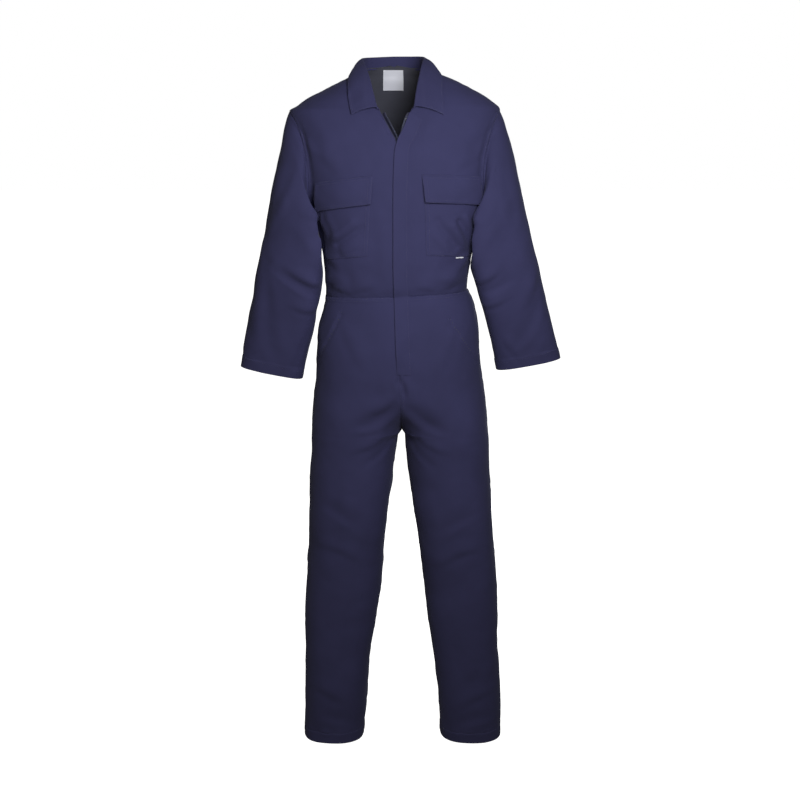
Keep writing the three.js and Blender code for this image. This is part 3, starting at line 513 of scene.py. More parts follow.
def polycotton_twill(name, cloth, rubbed_cloth, slope=1.0):
    """Polycotton twill, piece-dyed navy: matt, with fine slanting ribs, a faint mottle in the dye,
    a soft bloom of fibre ends at glancing angles, and paler thread where seams rub."""
    material, tree = new_material(name)
    grain = add(tree, "ShaderNodeUVMap", {"uv_map": "grain"}).outputs["UV"]
    place = add(tree, "ShaderNodeTexCoord").outputs["Object"]
    # The real ribs are 0.7 mm apart, too fine to show: they are drawn 3 mm apart
    slant = add(tree, "ShaderNodeMapping", {"Rotation": (0, 0, math.radians(TWILL_ANGLE * slope))},
                {"Vector": grain})
    ribs = add(tree, "ShaderNodeTexWave", {"Scale": band_scale(3.0), "Distortion": 0.6, "Detail": 1},
               {"Vector": slant.outputs[0]})
    # The yarn's slubs are about 1 mm long, and the dye's mottle about 100 mm
    yarn = add(tree, "ShaderNodeTexNoise", {"Scale": 900, "Detail": 2}, {"Vector": grain})
    dye = add(tree, "ShaderNodeTexNoise", {"Scale": 9, "Detail": 3, "Roughness": 0.55}, {"Vector": place})
    mottle = add(tree, "ShaderNodeMapRange", {FROM_LOW: 0.3, FROM_HIGH: 0.7, TO_LOW: 0.93, TO_HIGH: 1.07},
                 {0: dye.outputs[0]})
    rib_shade = add(tree, "ShaderNodeMapRange", {TO_LOW: 0.985, TO_HIGH: 1.015}, {0: ribs.outputs["Fac"]})
    shade = add(tree, "ShaderNodeMath", {"operation": "MULTIPLY"},
                {0: mottle.outputs[0], 1: rib_shade.outputs[0]})
    rubbed = add(tree, "ShaderNodeAttribute", {"attribute_name": "rubbed"})
    wear = add(tree, "ShaderNodeMath", {"operation": "MULTIPLY", "use_clamp": True},
               {0: rubbed.outputs["Fac"], 1: yarn.outputs[0]})
    base = add(tree, "ShaderNodeMix",
               {"data_type": "RGBA", FIRST_COLOUR: linear(cloth), SECOND_COLOUR: linear(rubbed_cloth)},
               {0: wear.outputs[0]})
    value = add(tree, "ShaderNodeHueSaturation", {},
                {"Color": base.outputs[MIXED_COLOUR], "Value": shade.outputs[0]})
    weave = add(tree, "ShaderNodeBump", {"Strength": 0.1, "Distance": 0.0002},
                {"Height": ribs.outputs["Fac"]})
    slub = add(tree, "ShaderNodeBump", {"Strength": 0.2, "Distance": 0.0002},
               {"Height": yarn.outputs[0], "Normal": weave.outputs[0]})
    shader = add(tree, "ShaderNodeBsdfPrincipled",
                 {"Roughness": 0.9, "IOR": 1.45, "Sheen Weight": 0.08, "Sheen Roughness": 0.45,
                  "Sheen Tint": (0.5, 0.52, 0.85, 1), "Specular IOR Level": 0.3},
                 {"Base Color": value.outputs[0], "Normal": slub.outputs[0]})
    add(tree, "ShaderNodeOutputMaterial", {}, {"Surface": shader.outputs[0]})
    return material


twill = polycotton_twill("twill_navy", "#313155", "#3a3a5e")
# The reverse shows more of the cotton weft, which takes the dye greyer, and its ribs slant the other way
twill_reverse = polycotton_twill("twill_navy_reverse", "#3e3f4a", "#464752", slope=-1.0)

# Three stitches to the centimetre, in thread a little thicker than the real one so that it shows
STITCH_PITCH, STITCH_LENGTH, STITCH_HALF, STITCH_RISE = 3.3, 2.5, 0.33, 0.32
STITCH_DIP, STITCH_UNDER = 0.15, 0.2
BEAD_CORNERS = 6


def no_parts():
    """An empty list of small parts that become one mesh."""
    return {"points": [], "faces": [], "count": 0}


sewn = no_parts()


def stitch(path, normals):
    """Sews a row of stitches along a path: each is a slim bead that dips into the cloth at its ends."""
    steps = np.linalg.norm(np.diff(path, axis=0), axis=1)
    run = np.concatenate([[0], np.cumsum(steps)])
    count = int(run[-1] / STITCH_PITCH)
    if count < 1:
        return
    middle = (np.arange(count) + 0.5) * run[-1] / count

    def along(values, at):
        return np.stack([np.interp(at, run, values[:, k]) for k in range(3)], -1)

    half = STITCH_LENGTH / 2
    ends = along(path, middle - half), along(path, middle + half)
    out = along(normals, middle)
    out /= np.linalg.norm(out, axis=1, keepdims=True)
    centre = (ends[0] + ends[1]) / 2
    sideways = np.cross(out, ends[1] - ends[0])
    sideways *= STITCH_HALF / np.maximum(np.linalg.norm(sideways, axis=1, keepdims=True), TINY)
    beads = [ends[0] - out * STITCH_DIP, centre + sideways, centre + out * STITCH_RISE, centre - sideways,
             centre - out * STITCH_UNDER, ends[1] - out * STITCH_DIP]
    corners = np.array([(0, 1, 2), (0, 2, 3), (0, 3, 4), (0, 4, 1),
                        (5, 2, 1), (5, 3, 2), (5, 4, 3), (5, 1, 4)])
    start = sewn["count"] + np.arange(count)[:, None, None] * BEAD_CORNERS
    sewn["points"].append(np.stack(beads, 1).reshape(-1, 3))
    sewn["faces"].append((corners[None] + start).reshape(-1, 3))
    sewn["count"] += count * BEAD_CORNERS


def keep_cloth(piece, nodes, flat, area, held="hung", rests_on="bodice_back"):
    """Hangs a cloth piece from the root and hides the CAD nodes it stands for. Its cut and finish are not
    used.
    """
    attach(piece, "root")
    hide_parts(*nodes)


heights, outer_angles = bodice_rows()
SIDE_ROWS = np.sum(heights < ARMPIT_Z)
SHOULDER_ROW = SIDE_ROWS + ARMHOLE_STEPS
ARMHOLE_ROWS = slice(SIDE_ROWS, SHOULDER_ROW + 1)
at_armhole = np.zeros((len(heights), 1))
at_armhole[ARMHOLE_ROWS] = 1


# Folds die out over these distances, towards the waist or hem seam and towards an armhole
FOLDS_FADE = 16
ARMHOLE_HOLDS = 18
# Where a seam's edge rubs pale, as a distance from the seam and a width
RUBBED_AT, RUBBED_WIDTH = 0.9, 1.2
FRONT_CUT, FRONT_AREA = (0.33, 0.56), 0.118

for side, name in SIDE_NAMES.items():
    inner_angle = trunk_angle(side, front_edge(name, heights), heights)
    angles = lerp(inner_angle[:, None], outer_angles[:, None], np.linspace(0, 1, DENSE))
    dense = trunk_point(side, FRONT, angles, heights[:, None])
    grid = spaced(dense, SEAM_LINES, SEAM_LINES, BODICE_COLUMNS)
    start, end, low, _ = runs_from_edges(grid)
    dip = v_dip(start, grid[..., 2]) * (side == RIGHT)
    relief = (seam_relief(end, at_armhole) + seam_relief(low, 0) + 0.4 * seam_relief(start, 1)
              + puckered(grid, np.minimum(np.minimum(start, end), low)))
    folds = (crease_lift(grid, BODICE_CREASES) + uneven(grid)) * ease(low, 0, FOLDS_FADE)
    folds = folds * lerp(1, ease(end, 0, ARMHOLE_HOLDS), at_armhole)
    normals = grid_normals(grid, BODICE_INSIDE)
    sunk = dip + armhole_valley(end, grid[..., 2]) * at_armhole
    grid = grid + normals * (relief + folds - sunk)[..., None]
    normals = grid_normals(grid, BODICE_INSIDE)
    worn = 0.3 * hump(end, RUBBED_AT, RUBBED_WIDTH) * at_armhole
    piece = cloth_piece(f"front_{name}_twill", grid, grid - normals * CLOTH, twill, worn, straight=0,
                        reverse=twill_reverse)
    keep_cloth(piece, [f"front_{name}"], FRONT_CUT, FRONT_AREA)
    for k in STITCHED_LINES:
        stitch(grid[ARMHOLE_ROWS, -1 - k], normals[ARMHOLE_ROWS, -1 - k])

# Bodice back
# One panel of the same twill from side seam to side seam and up to the back of the neck. Its edges
# lap over the fronts at the shoulders and the sides, and are sewn down with twin needles.
NECK_BACK_Z = 31.5
NECK_STEPS = 10
BACK_COLUMNS = 54
BACK_CUT, BACK_AREA = (0.66, 0.56), 0.262
back_neck = table("z half", [(20, 76), (24, 66), (28, 48), (31.5, 8)])

neck_heights = np.linspace(NECK_SIDE_Z, NECK_BACK_Z, NECK_STEPS)[1:]
neck_share = back_neck("half", neck_heights) / trunk("half", neck_heights)
neck_ends = np.arccos(neck_share ** (SQUARENESS / 2))
back_heights = np.concatenate([heights, neck_heights])
back_ends = np.concatenate([outer_angles, neck_ends])
halves = []
for side in SIDE_NAMES:
    middle = trunk_angle(side, front_edge("seam", back_heights), back_heights)
    angles = lerp(middle[:, None], back_ends[:, None], np.linspace(0, 1, DENSE))
    half = trunk_point(side, BACK, angles, back_heights[:, None])
    halves.append(spaced(half, np.array([0.0]), SEAM_LINES, BACK_COLUMNS))
grid = np.concatenate([halves[0][:, ::-1], halves[1][:, 1:]], axis=1)
start, end, low, _ = runs_from_edges(grid)
end = np.minimum(start, end)
row = np.arange(len(grid))[:, None]
at_armhole = ((row >= SIDE_ROWS) & (row <= SHOULDER_ROW)).astype(float)
sewn_side = (row < len(heights)).astype(float)
relief = seam_relief(end, sewn_side) + seam_relief(low, 0) + puckered(grid, np.minimum(end, low))
folds = (crease_lift(grid, BODICE_CREASES) + uneven(grid)) * ease(low, 0, FOLDS_FADE)
folds = folds * lerp(1, ease(end, 0, ARMHOLE_HOLDS), at_armhole)
folds = folds - armhole_valley(end, grid[..., 2]) * at_armhole
normals = grid_normals(grid, BODICE_INSIDE)
grid = grid + normals * (relief + folds)[..., None]
normals = grid_normals(grid, BODICE_INSIDE)
worn = 0.4 * hump(end, RUBBED_AT, RUBBED_WIDTH) * sewn_side
piece = cloth_piece("bodice_back_twill", grid, grid - normals * CLOTH, twill, worn, reverse=twill_reverse)
keep_cloth(piece, ["bodice_back"], BACK_CUT, BACK_AREA, rests_on="collar")
for k in STITCHED_LINES:
    for column in (k, -1 - k):
        stitch(grid[:len(heights), column], normals[:len(heights), column])

# Sleeves
# Each is one tube of twill set into the armhole, with its seam under the arm, and a turned-up
# cuff edge sewn down 26 mm up. The cloth creases inside the elbow and hangs free below it.
sleeve_outer = table("z right left", [
    (-72, -237, 243),
    (-90, -243.5, 253),
    (-114, -251, 261),
    (-159, -262, 273),
    (-213, -274, 286),
    (-268, -285, 299),
    (-323, -297, 312),
    (-379, -307, 325),
    (-435, -318, 340),
    (-505, -332, 358),
    (-576, -347, 376),
    (-624, -355, 389),
    (-659, -361, 398),
])
sleeve_inner = table("z right left", [
    (-290, -196.5, 209.5),
    (-304, -196.5, 210),
    (-330, -186.5, 201.5),
    (-380, -170, 186),
    (-424, -163.5, 178.5),
    (-440, -162.5, 181.5),
    (-463, -165, 189.5),
    (-505, -173, 201),
    (-534, -178.5, 210),
    (-576, -188.5, 223),
    (-624, -203, 235),
    (-687, -218, 248),
])
sleeve_run = table("along depth forward swing tuck", [
    (0, 70, 0, 0, 0),
    (0.04, 76, 0, 11, 1),
    (0.1, 83, 0, 34, 16),
    (0.22, 88, 0, 44, 20),
    (0.3, 87, -1, 44, 14),
    (0.36, 85, -1.5, 42, 6),
    (0.42, 82, -2, 40, 0),
    (0.6, 73, -5, 26, 0),
    (0.8, 58, -9, 12, 0),
    (1, 43, -12, 6, 0),
])
CUFFS = {RIGHT: (-659, -687), LEFT: (-640, -667)}
ARMHOLE_FADES_OVER = 0.3
# The underside swings in front of the armpit and, less widely, behind it
SWING_POWER = {FRONT: 2, BACK: 9}
SLEEVE_LENGTH = 600
SLEEVE_STEPS = 108
SLEEVE_CUT, SLEEVE_AREA = (0.6, 0.62), 0.29

# Distances from a turned-up edge where the cloth has a line of points: one of them carries stitches
HEM_LINES = np.array([0, 0.8, 2, 6, 13, 20, 24.2, 25.2, 26.2, 27.4, 29, 33])
STITCHED_HEM_LINE = 8
HEM_STITCH = HEM_LINES[STITCHED_HEM_LINE]
HEM_DEEP = 26
HEM_TURNED = 1.1
UNDER_SEAM, UNDER_SEAM_WIDTH = 0.5, 5


def hem_relief(grid, high, proud, wave, length, reach):
    """Height of the cloth near a turned edge: the double part stands proud and waves a little."""
    doubled = proud * (1 - ease(high, HEM_STITCH - 0.7, HEM_STITCH + 1.3))
    waves = wave * soft_noise(grid, length) * hump(high, 0, reach)
    return doubled - 0.5 * hump(high, HEM_STITCH, STITCH_PRESS_WIDTH) + waves


def hem_thickness(high):
    """The cloth is double where it is turned up."""
    return CLOTH + HEM_TURNED * (1 - ease(high, HEM_STITCH - 0.7, HEM_STITCH + 0.8))


def hem_wear(high):
    """Where a hem rubs pale: at its fold and along its stitches."""
    return 0.8 * hump(high, 0, 1.5) + 0.5 * hump(high, HEM_STITCH, 1.4)


def armhole(side):
    """The closed seam of the armhole, from the shoulder tip down the front and up the back."""
    step = np.arange(2 * ARMHOLE_STEPS)
    front = step <= ARMHOLE_STEPS
    turn = np.pi * step / ARMHOLE_STEPS
    z = lerp(ARMPIT_Z, SHOULDER_Z, (1 + np.cos(turn)) / 2)
    cut = 1 - ARMHOLE_CUT * np.abs(np.sin(turn)) ** ARMHOLE_EASE
    angle = np.arccos(cut ** (SQUARENESS / 2))
    points = np.where(front[:, None], trunk_point(side, FRONT, angle, z), trunk_point(side, BACK, angle, z))
    return points, turn, np.where(front, FRONT, BACK)


def sleeve_rings(side, alongs):
    """Rings of the sleeve that turn from the upright armhole to the level cuff."""
    name = SIDE_NAMES[side]
    loop, turn, face = armhole(side)
    swing_power = np.where(face == FRONT, SWING_POWER[FRONT], SWING_POWER[BACK])
    tip, pit = loop[0], loop[ARMHOLE_STEPS]
    outer_cuff, inner_cuff = CUFFS[side]
    rings = []
    for along in alongs:
        outer_z, inner_z = lerp(SHOULDER_Z, outer_cuff, along), lerp(ARMPIT_Z, inner_cuff, along)
        begun = ease(along, 0, 0.02)
        outer = lerp(tip[0], sleeve_outer(name, outer_z), begun), lerp(tip[2], outer_z, begun)
        inner = lerp(pit[0], sleeve_inner(name, inner_z), begun), lerp(pit[2], inner_z, begun)
        free = ease(along, 0, ARMHOLE_FADES_OVER)
        level = lerp(np.cos(turn), across(turn), free)
        out = lerp(np.abs(loop[:, 1]) / sleeve_run("depth", 0), deep(turn), free)
        upright = (1 + np.cos(turn)) / 2
        bow = (loop[:, 0] - lerp(pit[0], tip[0], upright)) * (1 - free)
        tucked = sleeve_run("tuck", along) * np.sin(2 * turn) ** 2 * ((face == FRONT) & (level < 0))
        x = lerp(inner[0], outer[0], (1 + level) / 2) + bow - side * tucked
        sag = (loop[:, 2] - lerp(pit[2], tip[2], upright)) * (1 - free)
        z = lerp(inner[1], outer[1], (1 + level) / 2) + sag
        swung = sleeve_run("swing", along) * ((1 - level) / 2) ** swing_power
        y = face * out * sleeve_run("depth", along) + sleeve_run("forward", along) - swung
        rings.append(np.stack([x, y, z], -1))
    return np.array(rings)


def sleeve_creases(side, rows):
    """Creases of a sleeve, from rows of two ends as share along and turn in degrees, width and lift."""
    lines = []
    count = 2 * ARMHOLE_STEPS
    k = np.arange(CREASE_POINTS)
    for along0, turn0, along1, turn1, width, lift in rows:
        t = np.linspace(0, 1, CREASE_POINTS)
        rings = sleeve_rings(side, lerp(along0, along1, t))
        place = lerp(turn0, turn1, t) / 360 * count
        base = np.floor(place).astype(int)
        mix = (place - base)[:, None]
        line = lerp(rings[k, base % count], rings[k, (base + 1) % count], mix)
        lines.append((line, width, lift))
    return lines


# Turn 0 is the outside of the arm, 90 its front, 180 under the arm and 270 its back
SLEEVE_CREASES = {
    RIGHT: [
        (0.03, 160, 0.2, 100, 13, 3.6),
        (0.05, 190, 0.24, 255, 13, 3.6),
        (0.1, 150, 0.26, 120, 11, -3),
        (0.04, 166, 0.3, 160, 20, -8),
        (0.12, 60, 0.34, 50, 16, -2.6),
        (0.22, 75, 0.44, 40, 15, 2.4),
        (0.42, 165, 0.5, 90, 13, 4.2),
        (0.5, 160, 0.55, 70, 12, -3.4),
        (0.56, 170, 0.64, 100, 13, 3.6),
        (0.44, 190, 0.5, 260, 14, 4),
        (0.53, 200, 0.6, 285, 13, -3),
        (0.63, 195, 0.7, 265, 13, 3),
        (0.5, 20, 0.9, 62, 17, 2.6),
        (0.62, 60, 0.95, 95, 14, -2.2),
        (0.74, 130, 0.97, 112, 12, 2.2),
        (0.7, 250, 0.96, 235, 14, 2.4),
        (0.3, 300, 0.55, 320, 16, 2),
    ],
    LEFT: [
        (0.03, 160, 0.22, 108, 13, 3.4),
        (0.05, 190, 0.24, 250, 13, 3.8),
        (0.1, 150, 0.24, 128, 11, -2.6),
        (0.04, 166, 0.3, 160, 20, -10),
        (0.15, 55, 0.38, 62, 17, -2),
        (0.43, 165, 0.48, 100, 13, 4),
        (0.5, 160, 0.58, 85, 12, -3),
        (0.58, 165, 0.63, 95, 12, 3),
        (0.45, 195, 0.52, 262, 14, 4),
        (0.55, 200, 0.62, 280, 13, -3),
        (0.66, 195, 0.72, 255, 13, 3),
        (0.6, 30, 0.72, 90, 15, 2.8),
        (0.72, 45, 0.9, 110, 15, -2.8),
        (0.8, 120, 0.97, 95, 12, 2.2),
        (0.72, 250, 0.95, 240, 14, 2.4),
        (0.32, 300, 0.55, 318, 16, 2),
    ],
}
sleeve_body = np.linspace(SEAM_LINES[-1] + 5, SLEEVE_LENGTH - HEM_LINES[-1] - 4, SLEEVE_STEPS)
sleeve_places = np.concatenate([SEAM_LINES, sleeve_body, SLEEVE_LENGTH - HEM_LINES[::-1]])

for side, name in SIDE_NAMES.items():
    grid = sleeve_rings(side, sleeve_places / SLEEVE_LENGTH)
    _, _, low, high = runs_from_edges(grid)
    under_arm = np.abs(np.arange(2 * ARMHOLE_STEPS) - ARMHOLE_STEPS)[None] * UNDER_SEAM_WIDTH
    relief = 0.4 * seam_relief(low, 0) - armhole_valley(low, grid[..., 2])
    relief = relief + puckered(grid, np.minimum(low, np.abs(high - HEM_DEEP)))
    relief = relief + hem_relief(grid, high, proud=0.7, wave=0.8, length=34, reach=40)
    relief = relief + UNDER_SEAM * hump(under_arm, UNDER_SEAM_WIDTH, UNDER_SEAM_WIDTH) * ease(low, 4, 14)
    creases = sleeve_creases(side, SLEEVE_CREASES[side])
    folds = (crease_lift(grid, creases) + uneven(grid)) * ease(low, 0, FOLDS_FADE)
    normals = grid_normals(grid, grid.mean(axis=1, keepdims=True), ring=True)
    grid = grid + normals * (relief + folds)[..., None]
    normals = grid_normals(grid, grid.mean(axis=1, keepdims=True), ring=True)
    under = grid - normals * hem_thickness(high)[..., None]
    piece = cloth_piece(f"sleeve_{name}_twill", grid, under, twill, hem_wear(high), ring=True,
                        reverse=twill_reverse)
    halves = [f"sleeve_front_{name}", f"sleeve_back_{name}"]
    keep_cloth(piece, halves, SLEEVE_CUT, SLEEVE_AREA, rests_on=f"front_{name}")
    hem_row = -1 - STITCHED_HEM_LINE
    loop = np.concatenate([grid[hem_row], grid[hem_row, :1]])
    stitch(loop, np.concatenate([normals[hem_row], normals[hem_row, :1]]))

# Trousers
# Four panels of the same twill hang from the waist seam: two fronts and two backs, sewn at the
# sides, inside the legs and through the crotch, with slanting side pockets and turned-up hems.
ZIP_BOTTOM_Z = -640
FLY_END_Z = -662
CROTCH_START_Z = -685
CROTCH_Z = -811
HEM_Z = -1590
legs = table("z right_out right_in left_in left_out front back", [
    (-485, -158.5, 19.5, 19.5, 171.5, 119, 123),
    (-505, -164, 19.5, 19.5, 185, 124, 132),
    (-534, -171, 19.5, 19.5, 194, 130, 142),
    (-576, -179, 19.5, 19.5, 201, 137, 153),
    (-624, -180.5, 19.5, 19.5, 203, 140, 159),
    (-685, -183, 19.5, 19.5, 210, 138, 160),
    (-755, -190, 19.5, 19.5, 220, 130, 150),
    (-811, -195, 19.5, 19.5, 224, 122, 138),
    (-820, -196, 12, 27, 225, 121, 136),
    (-843, -197.5, 8, 28, 227, 118, 132),
    (-893, -200, 0, 33, 229, 113, 125),
    (-993, -204, -12, 46, 237, 106, 114),
    (-1094, -208, -22, 61, 243, 99, 104),
    (-1196, -214, -32, 74, 251, 92, 96),
    (-1300, -219, -45, 85, 257, 88, 90),
    (-1405, -220, -60, 99, 261, 84, 87),
    (-1512, -221.5, -70, 110, 265, 81, 82),
    (-1590, -224, -76, 116, 266, 79, 79),
])


def leg_point(face, x, z):
    """A point of the hips or the legs, seen from the front or the back."""
    name = "right" if x < front_edge("seam", z) else "left"
    out, inside = legs(f"{name}_out", z), legs(f"{name}_in", z)
    if z > CROTCH_Z:
        out, inside = legs("right_out", z), legs("left_out", z)
    centre, half = (out + inside) / 2, abs(out - inside) / 2
    return oval_point(face, x, z, centre, half, legs(FACE_NAMES[face], z))


LEG_CREASES = bowed_creases(leg_point, [
    (FRONT, 6, -700, -62, -752, 0.1, 13, 3.2),
    (FRONT, 8, -735, -92, -786, 0.08, 16, -6),
    (FRONT, 10, -772, -100, -842, 0.1, 12, 3.2),
    (FRONT, 8, -795, -70, -880, 0.1, 11, -2.2),
    (FRONT, 30, -730, 118, -796, -0.08, 16, -6),
    (FRONT, 26, -770, 128, -846, -0.1, 12, 3),
    (FRONT, 30, -800, 96, -886, -0.1, 11, -2),
    (FRONT, 10, -664, 30, -716, -0.06, 8, -6),
    (FRONT, 30, -652, 36, -730, 0.03, 9, 2.2),
    (FRONT, -120, -540, -70, -640, 0.05, 17, 1.8),
    (FRONT, 140, -560, 100, -660, -0.05, 17, 1.8),
    (FRONT, -110, -900, -120, -1080, 0.03, 19, 2.4),
    (FRONT, 140, -900, 152, -1090, -0.03, 19, 2.4),
    (FRONT, -168, -980, -80, -1040, 0.1, 15, -2.6),
    (FRONT, 196, -1000, 108, -1050, -0.1, 15, -2.4),
    (FRONT, -170, -1075, -70, -1120, 0.1, 15, 2.6),
    (FRONT, 205, -1080, 100, -1128, -0.1, 15, 2.6),
    (FRONT, -130, -1180, -150, -1400, 0.02, 20, 2.2),
    (FRONT, 168, -1190, 190, -1410, -0.02, 20, 2.2),
    (FRONT, -200, -1440, -110, -1490, 0.12, 16, 2.4),
    (FRONT, 250, -1450, 150, -1498, -0.12, 16, 2.4),
    (FRONT, -180, -1520, -95, -1545, 0.1, 13, -2),
    (FRONT, 240, -1525, 150, -1548, -0.1, 13, -2),
    (BACK, -40, -752, -120, -850, 0.1, 22, -4),
    (BACK, 60, -752, 150, -850, -0.1, 22, -4),
    (BACK, -20, -790, -110, -880, 0.1, 14, 3.4),
    (BACK, 50, -790, 140, -885, -0.1, 14, 3.4),
    (BACK, -120, -520, -90, -620, 0.05, 18, 2),
    (BACK, 140, -520, 110, -620, -0.05, 18, 2),
    (BACK, -170, -900, -90, -960, 0.1, 16, 3),
    (BACK, 195, -905, 105, -965, -0.1, 16, 3),
    (BACK, -180, -1050, -60, -1080, 0.08, 14, 4),
    (BACK, 215, -1052, 90, -1084, -0.08, 14, 4),
    (BACK, -178, -1095, -60, -1112, 0.08, 12, -3.4),
    (BACK, 215, -1098, 92, -1116, -0.08, 12, -3.4),
    (BACK, -176, -1130, -72, -1165, 0.08, 14, 3.2),
    (BACK, 214, -1134, 102, -1170, -0.08, 14, 3.2),
    (BACK, -150, -1220, -160, -1420, 0.03, 20, 2.4),
    (BACK, 190, -1230, 205, -1430, -0.03, 20, 2.4),
    (BACK, -205, -1480, -110, -1520, 0.1, 15, 2.6),
    (BACK, 250, -1484, 150, -1526, -0.1, 15, 2.6),
])
HIP_STEPS, ZIP_FOOT_STEPS, CROTCH_STEPS, LEG_STEPS = 28, 11, 26, 122
LEG_COLUMNS = 50
leg_heights = np.concatenate([
    WAIST_Z - SEAM_LINES,
    np.linspace(WAIST_Z - SEAM_CLEAR, ZIP_BOTTOM_Z, HIP_STEPS),
    np.linspace(ZIP_BOTTOM_Z, CROTCH_START_Z, ZIP_FOOT_STEPS)[1:],
    lerp(CROTCH_START_Z, CROTCH_Z, np.sin(np.linspace(0, np.pi / 2, CROTCH_STEPS)))[1:],
    np.linspace(CROTCH_Z - 4, HEM_Z + HEM_LINES[-1] + 5, LEG_STEPS),
    HEM_Z + HEM_LINES[::-1],
])
LEG_CUTS = {FRONT: ((0.33, 1.12), 0.29), BACK: ((0.36, 1.12), 0.305)}

# The side pocket mouths slant from the bar tack near the waist out to the side seam. Their edge stands
# up and the cloth behind it lies lower
MOUTH_LIP, MOUTH_LIP_WIDTH = 1.6, 9
MOUTH_DIP, MOUTH_DIP_AT, MOUTH_DIP_WIDTH = 1.8, 2.5, 3.5
POCKET_MOUTHS = {RIGHT: ((-120, -521), (-174, -632)), LEFT: ((127, -538), (197, -640))}


def leg_panel(side, face):
    """A trouser panel: each row runs from the middle or inside seam out to the side seam."""
    name = SIDE_NAMES[side]
    rows = []
    for z in leg_heights:
        seam = front_edge("seam", z)
        out_x = legs(f"{name}_out", z)
        end_x = seam
        reach = abs(legs("left_out", z) - legs("right_out", z)) / 2
        level = 1 - abs(out_x - end_x) / reach
        if z < CROTCH_START_Z:
            drop = min((CROTCH_START_Z - z) / (CROTCH_START_Z - CROTCH_Z), 1)
            level = -ease(drop, 0, 1)
            end_x = legs(f"{name}_in", z) if z < CROTCH_Z else seam
            reach = abs(out_x - end_x) / (1 - level)
        elif face == FRONT and z >= FLY_END_Z:
            level = 1 - abs(out_x - front_edge(name, z)) / reach
        end = math.acos(np.sign(level) * abs(level) ** (SQUARENESS / 2))
        angles = np.linspace(end, 0, DENSE)
        x = out_x - side * reach * (1 - across(angles))
        rows.append(tilted(x, face * legs(FACE_NAMES[face], z) * deep(angles), z))
    return spaced(np.array(rows), SEAM_LINES, SEAM_LINES, LEG_COLUMNS)


TACK_ROWS = (-0.8, 0, 0.8)
TACK_ENDS = (-4.5, 4.5)


def bar_tack(place, along, normal):
    """Three close rows of stitches that keep the end of an opening from tearing."""
    aside = np.cross(normal, along)
    for shift in TACK_ROWS:
        ends = [place + along * reach + aside * shift for reach in TACK_ENDS]
        stitch(np.array(ends), np.array([normal, normal]))


def line_distance(grid, ends):
    """Signed distance from a slanting line on the front, with how far along it each point lies."""
    a, b = np.array(ends, float)
    run = b - a
    length = np.hypot(*run)
    seen = grid[..., [0, 2]] - a
    along = seen @ run / length ** 2
    return (seen[..., 0] * run[1] - seen[..., 1] * run[0]) / length, along


def mouth_relief(grid, side):
    """Height of the cloth at a side pocket's mouth: its turned edge stands up from what lies behind."""
    off, along = line_distance(grid, POCKET_MOUTHS[side])
    off = off * side
    open_here = ease(along, -0.02, 0.05) * (1 - ease(along, 0.97, 1.05))
    lip = MOUTH_LIP * hump(off, 0, MOUTH_LIP_WIDTH) * (off < 0)
    dip = MOUTH_DIP * hump(off, MOUTH_DIP_AT, MOUTH_DIP_WIDTH) * (off >= 0)
    return open_here * (lip - dip)


def sew_mouth(grid, normals, side):
    """A bar tack at each end of a side pocket's mouth."""
    for mouth_x, mouth_z in POCKET_MOUTHS[side]:
        away = np.hypot(grid[..., 0] - mouth_x, grid[..., 2] - mouth_z)
        i, j = np.unravel_index(np.argmin(away), away.shape)
        over = grid[i, j + 1] - grid[i, j]
        bar_tack(grid[i, j], over / np.linalg.norm(over), normals[i, j])


# The folds die out over the first distance towards the crotch seam, and the seam's relief over the second
CROTCH_HOLDS, CROTCH_SEAM_HOLDS = 14, 3
CROTCH_PRESS = 0.5

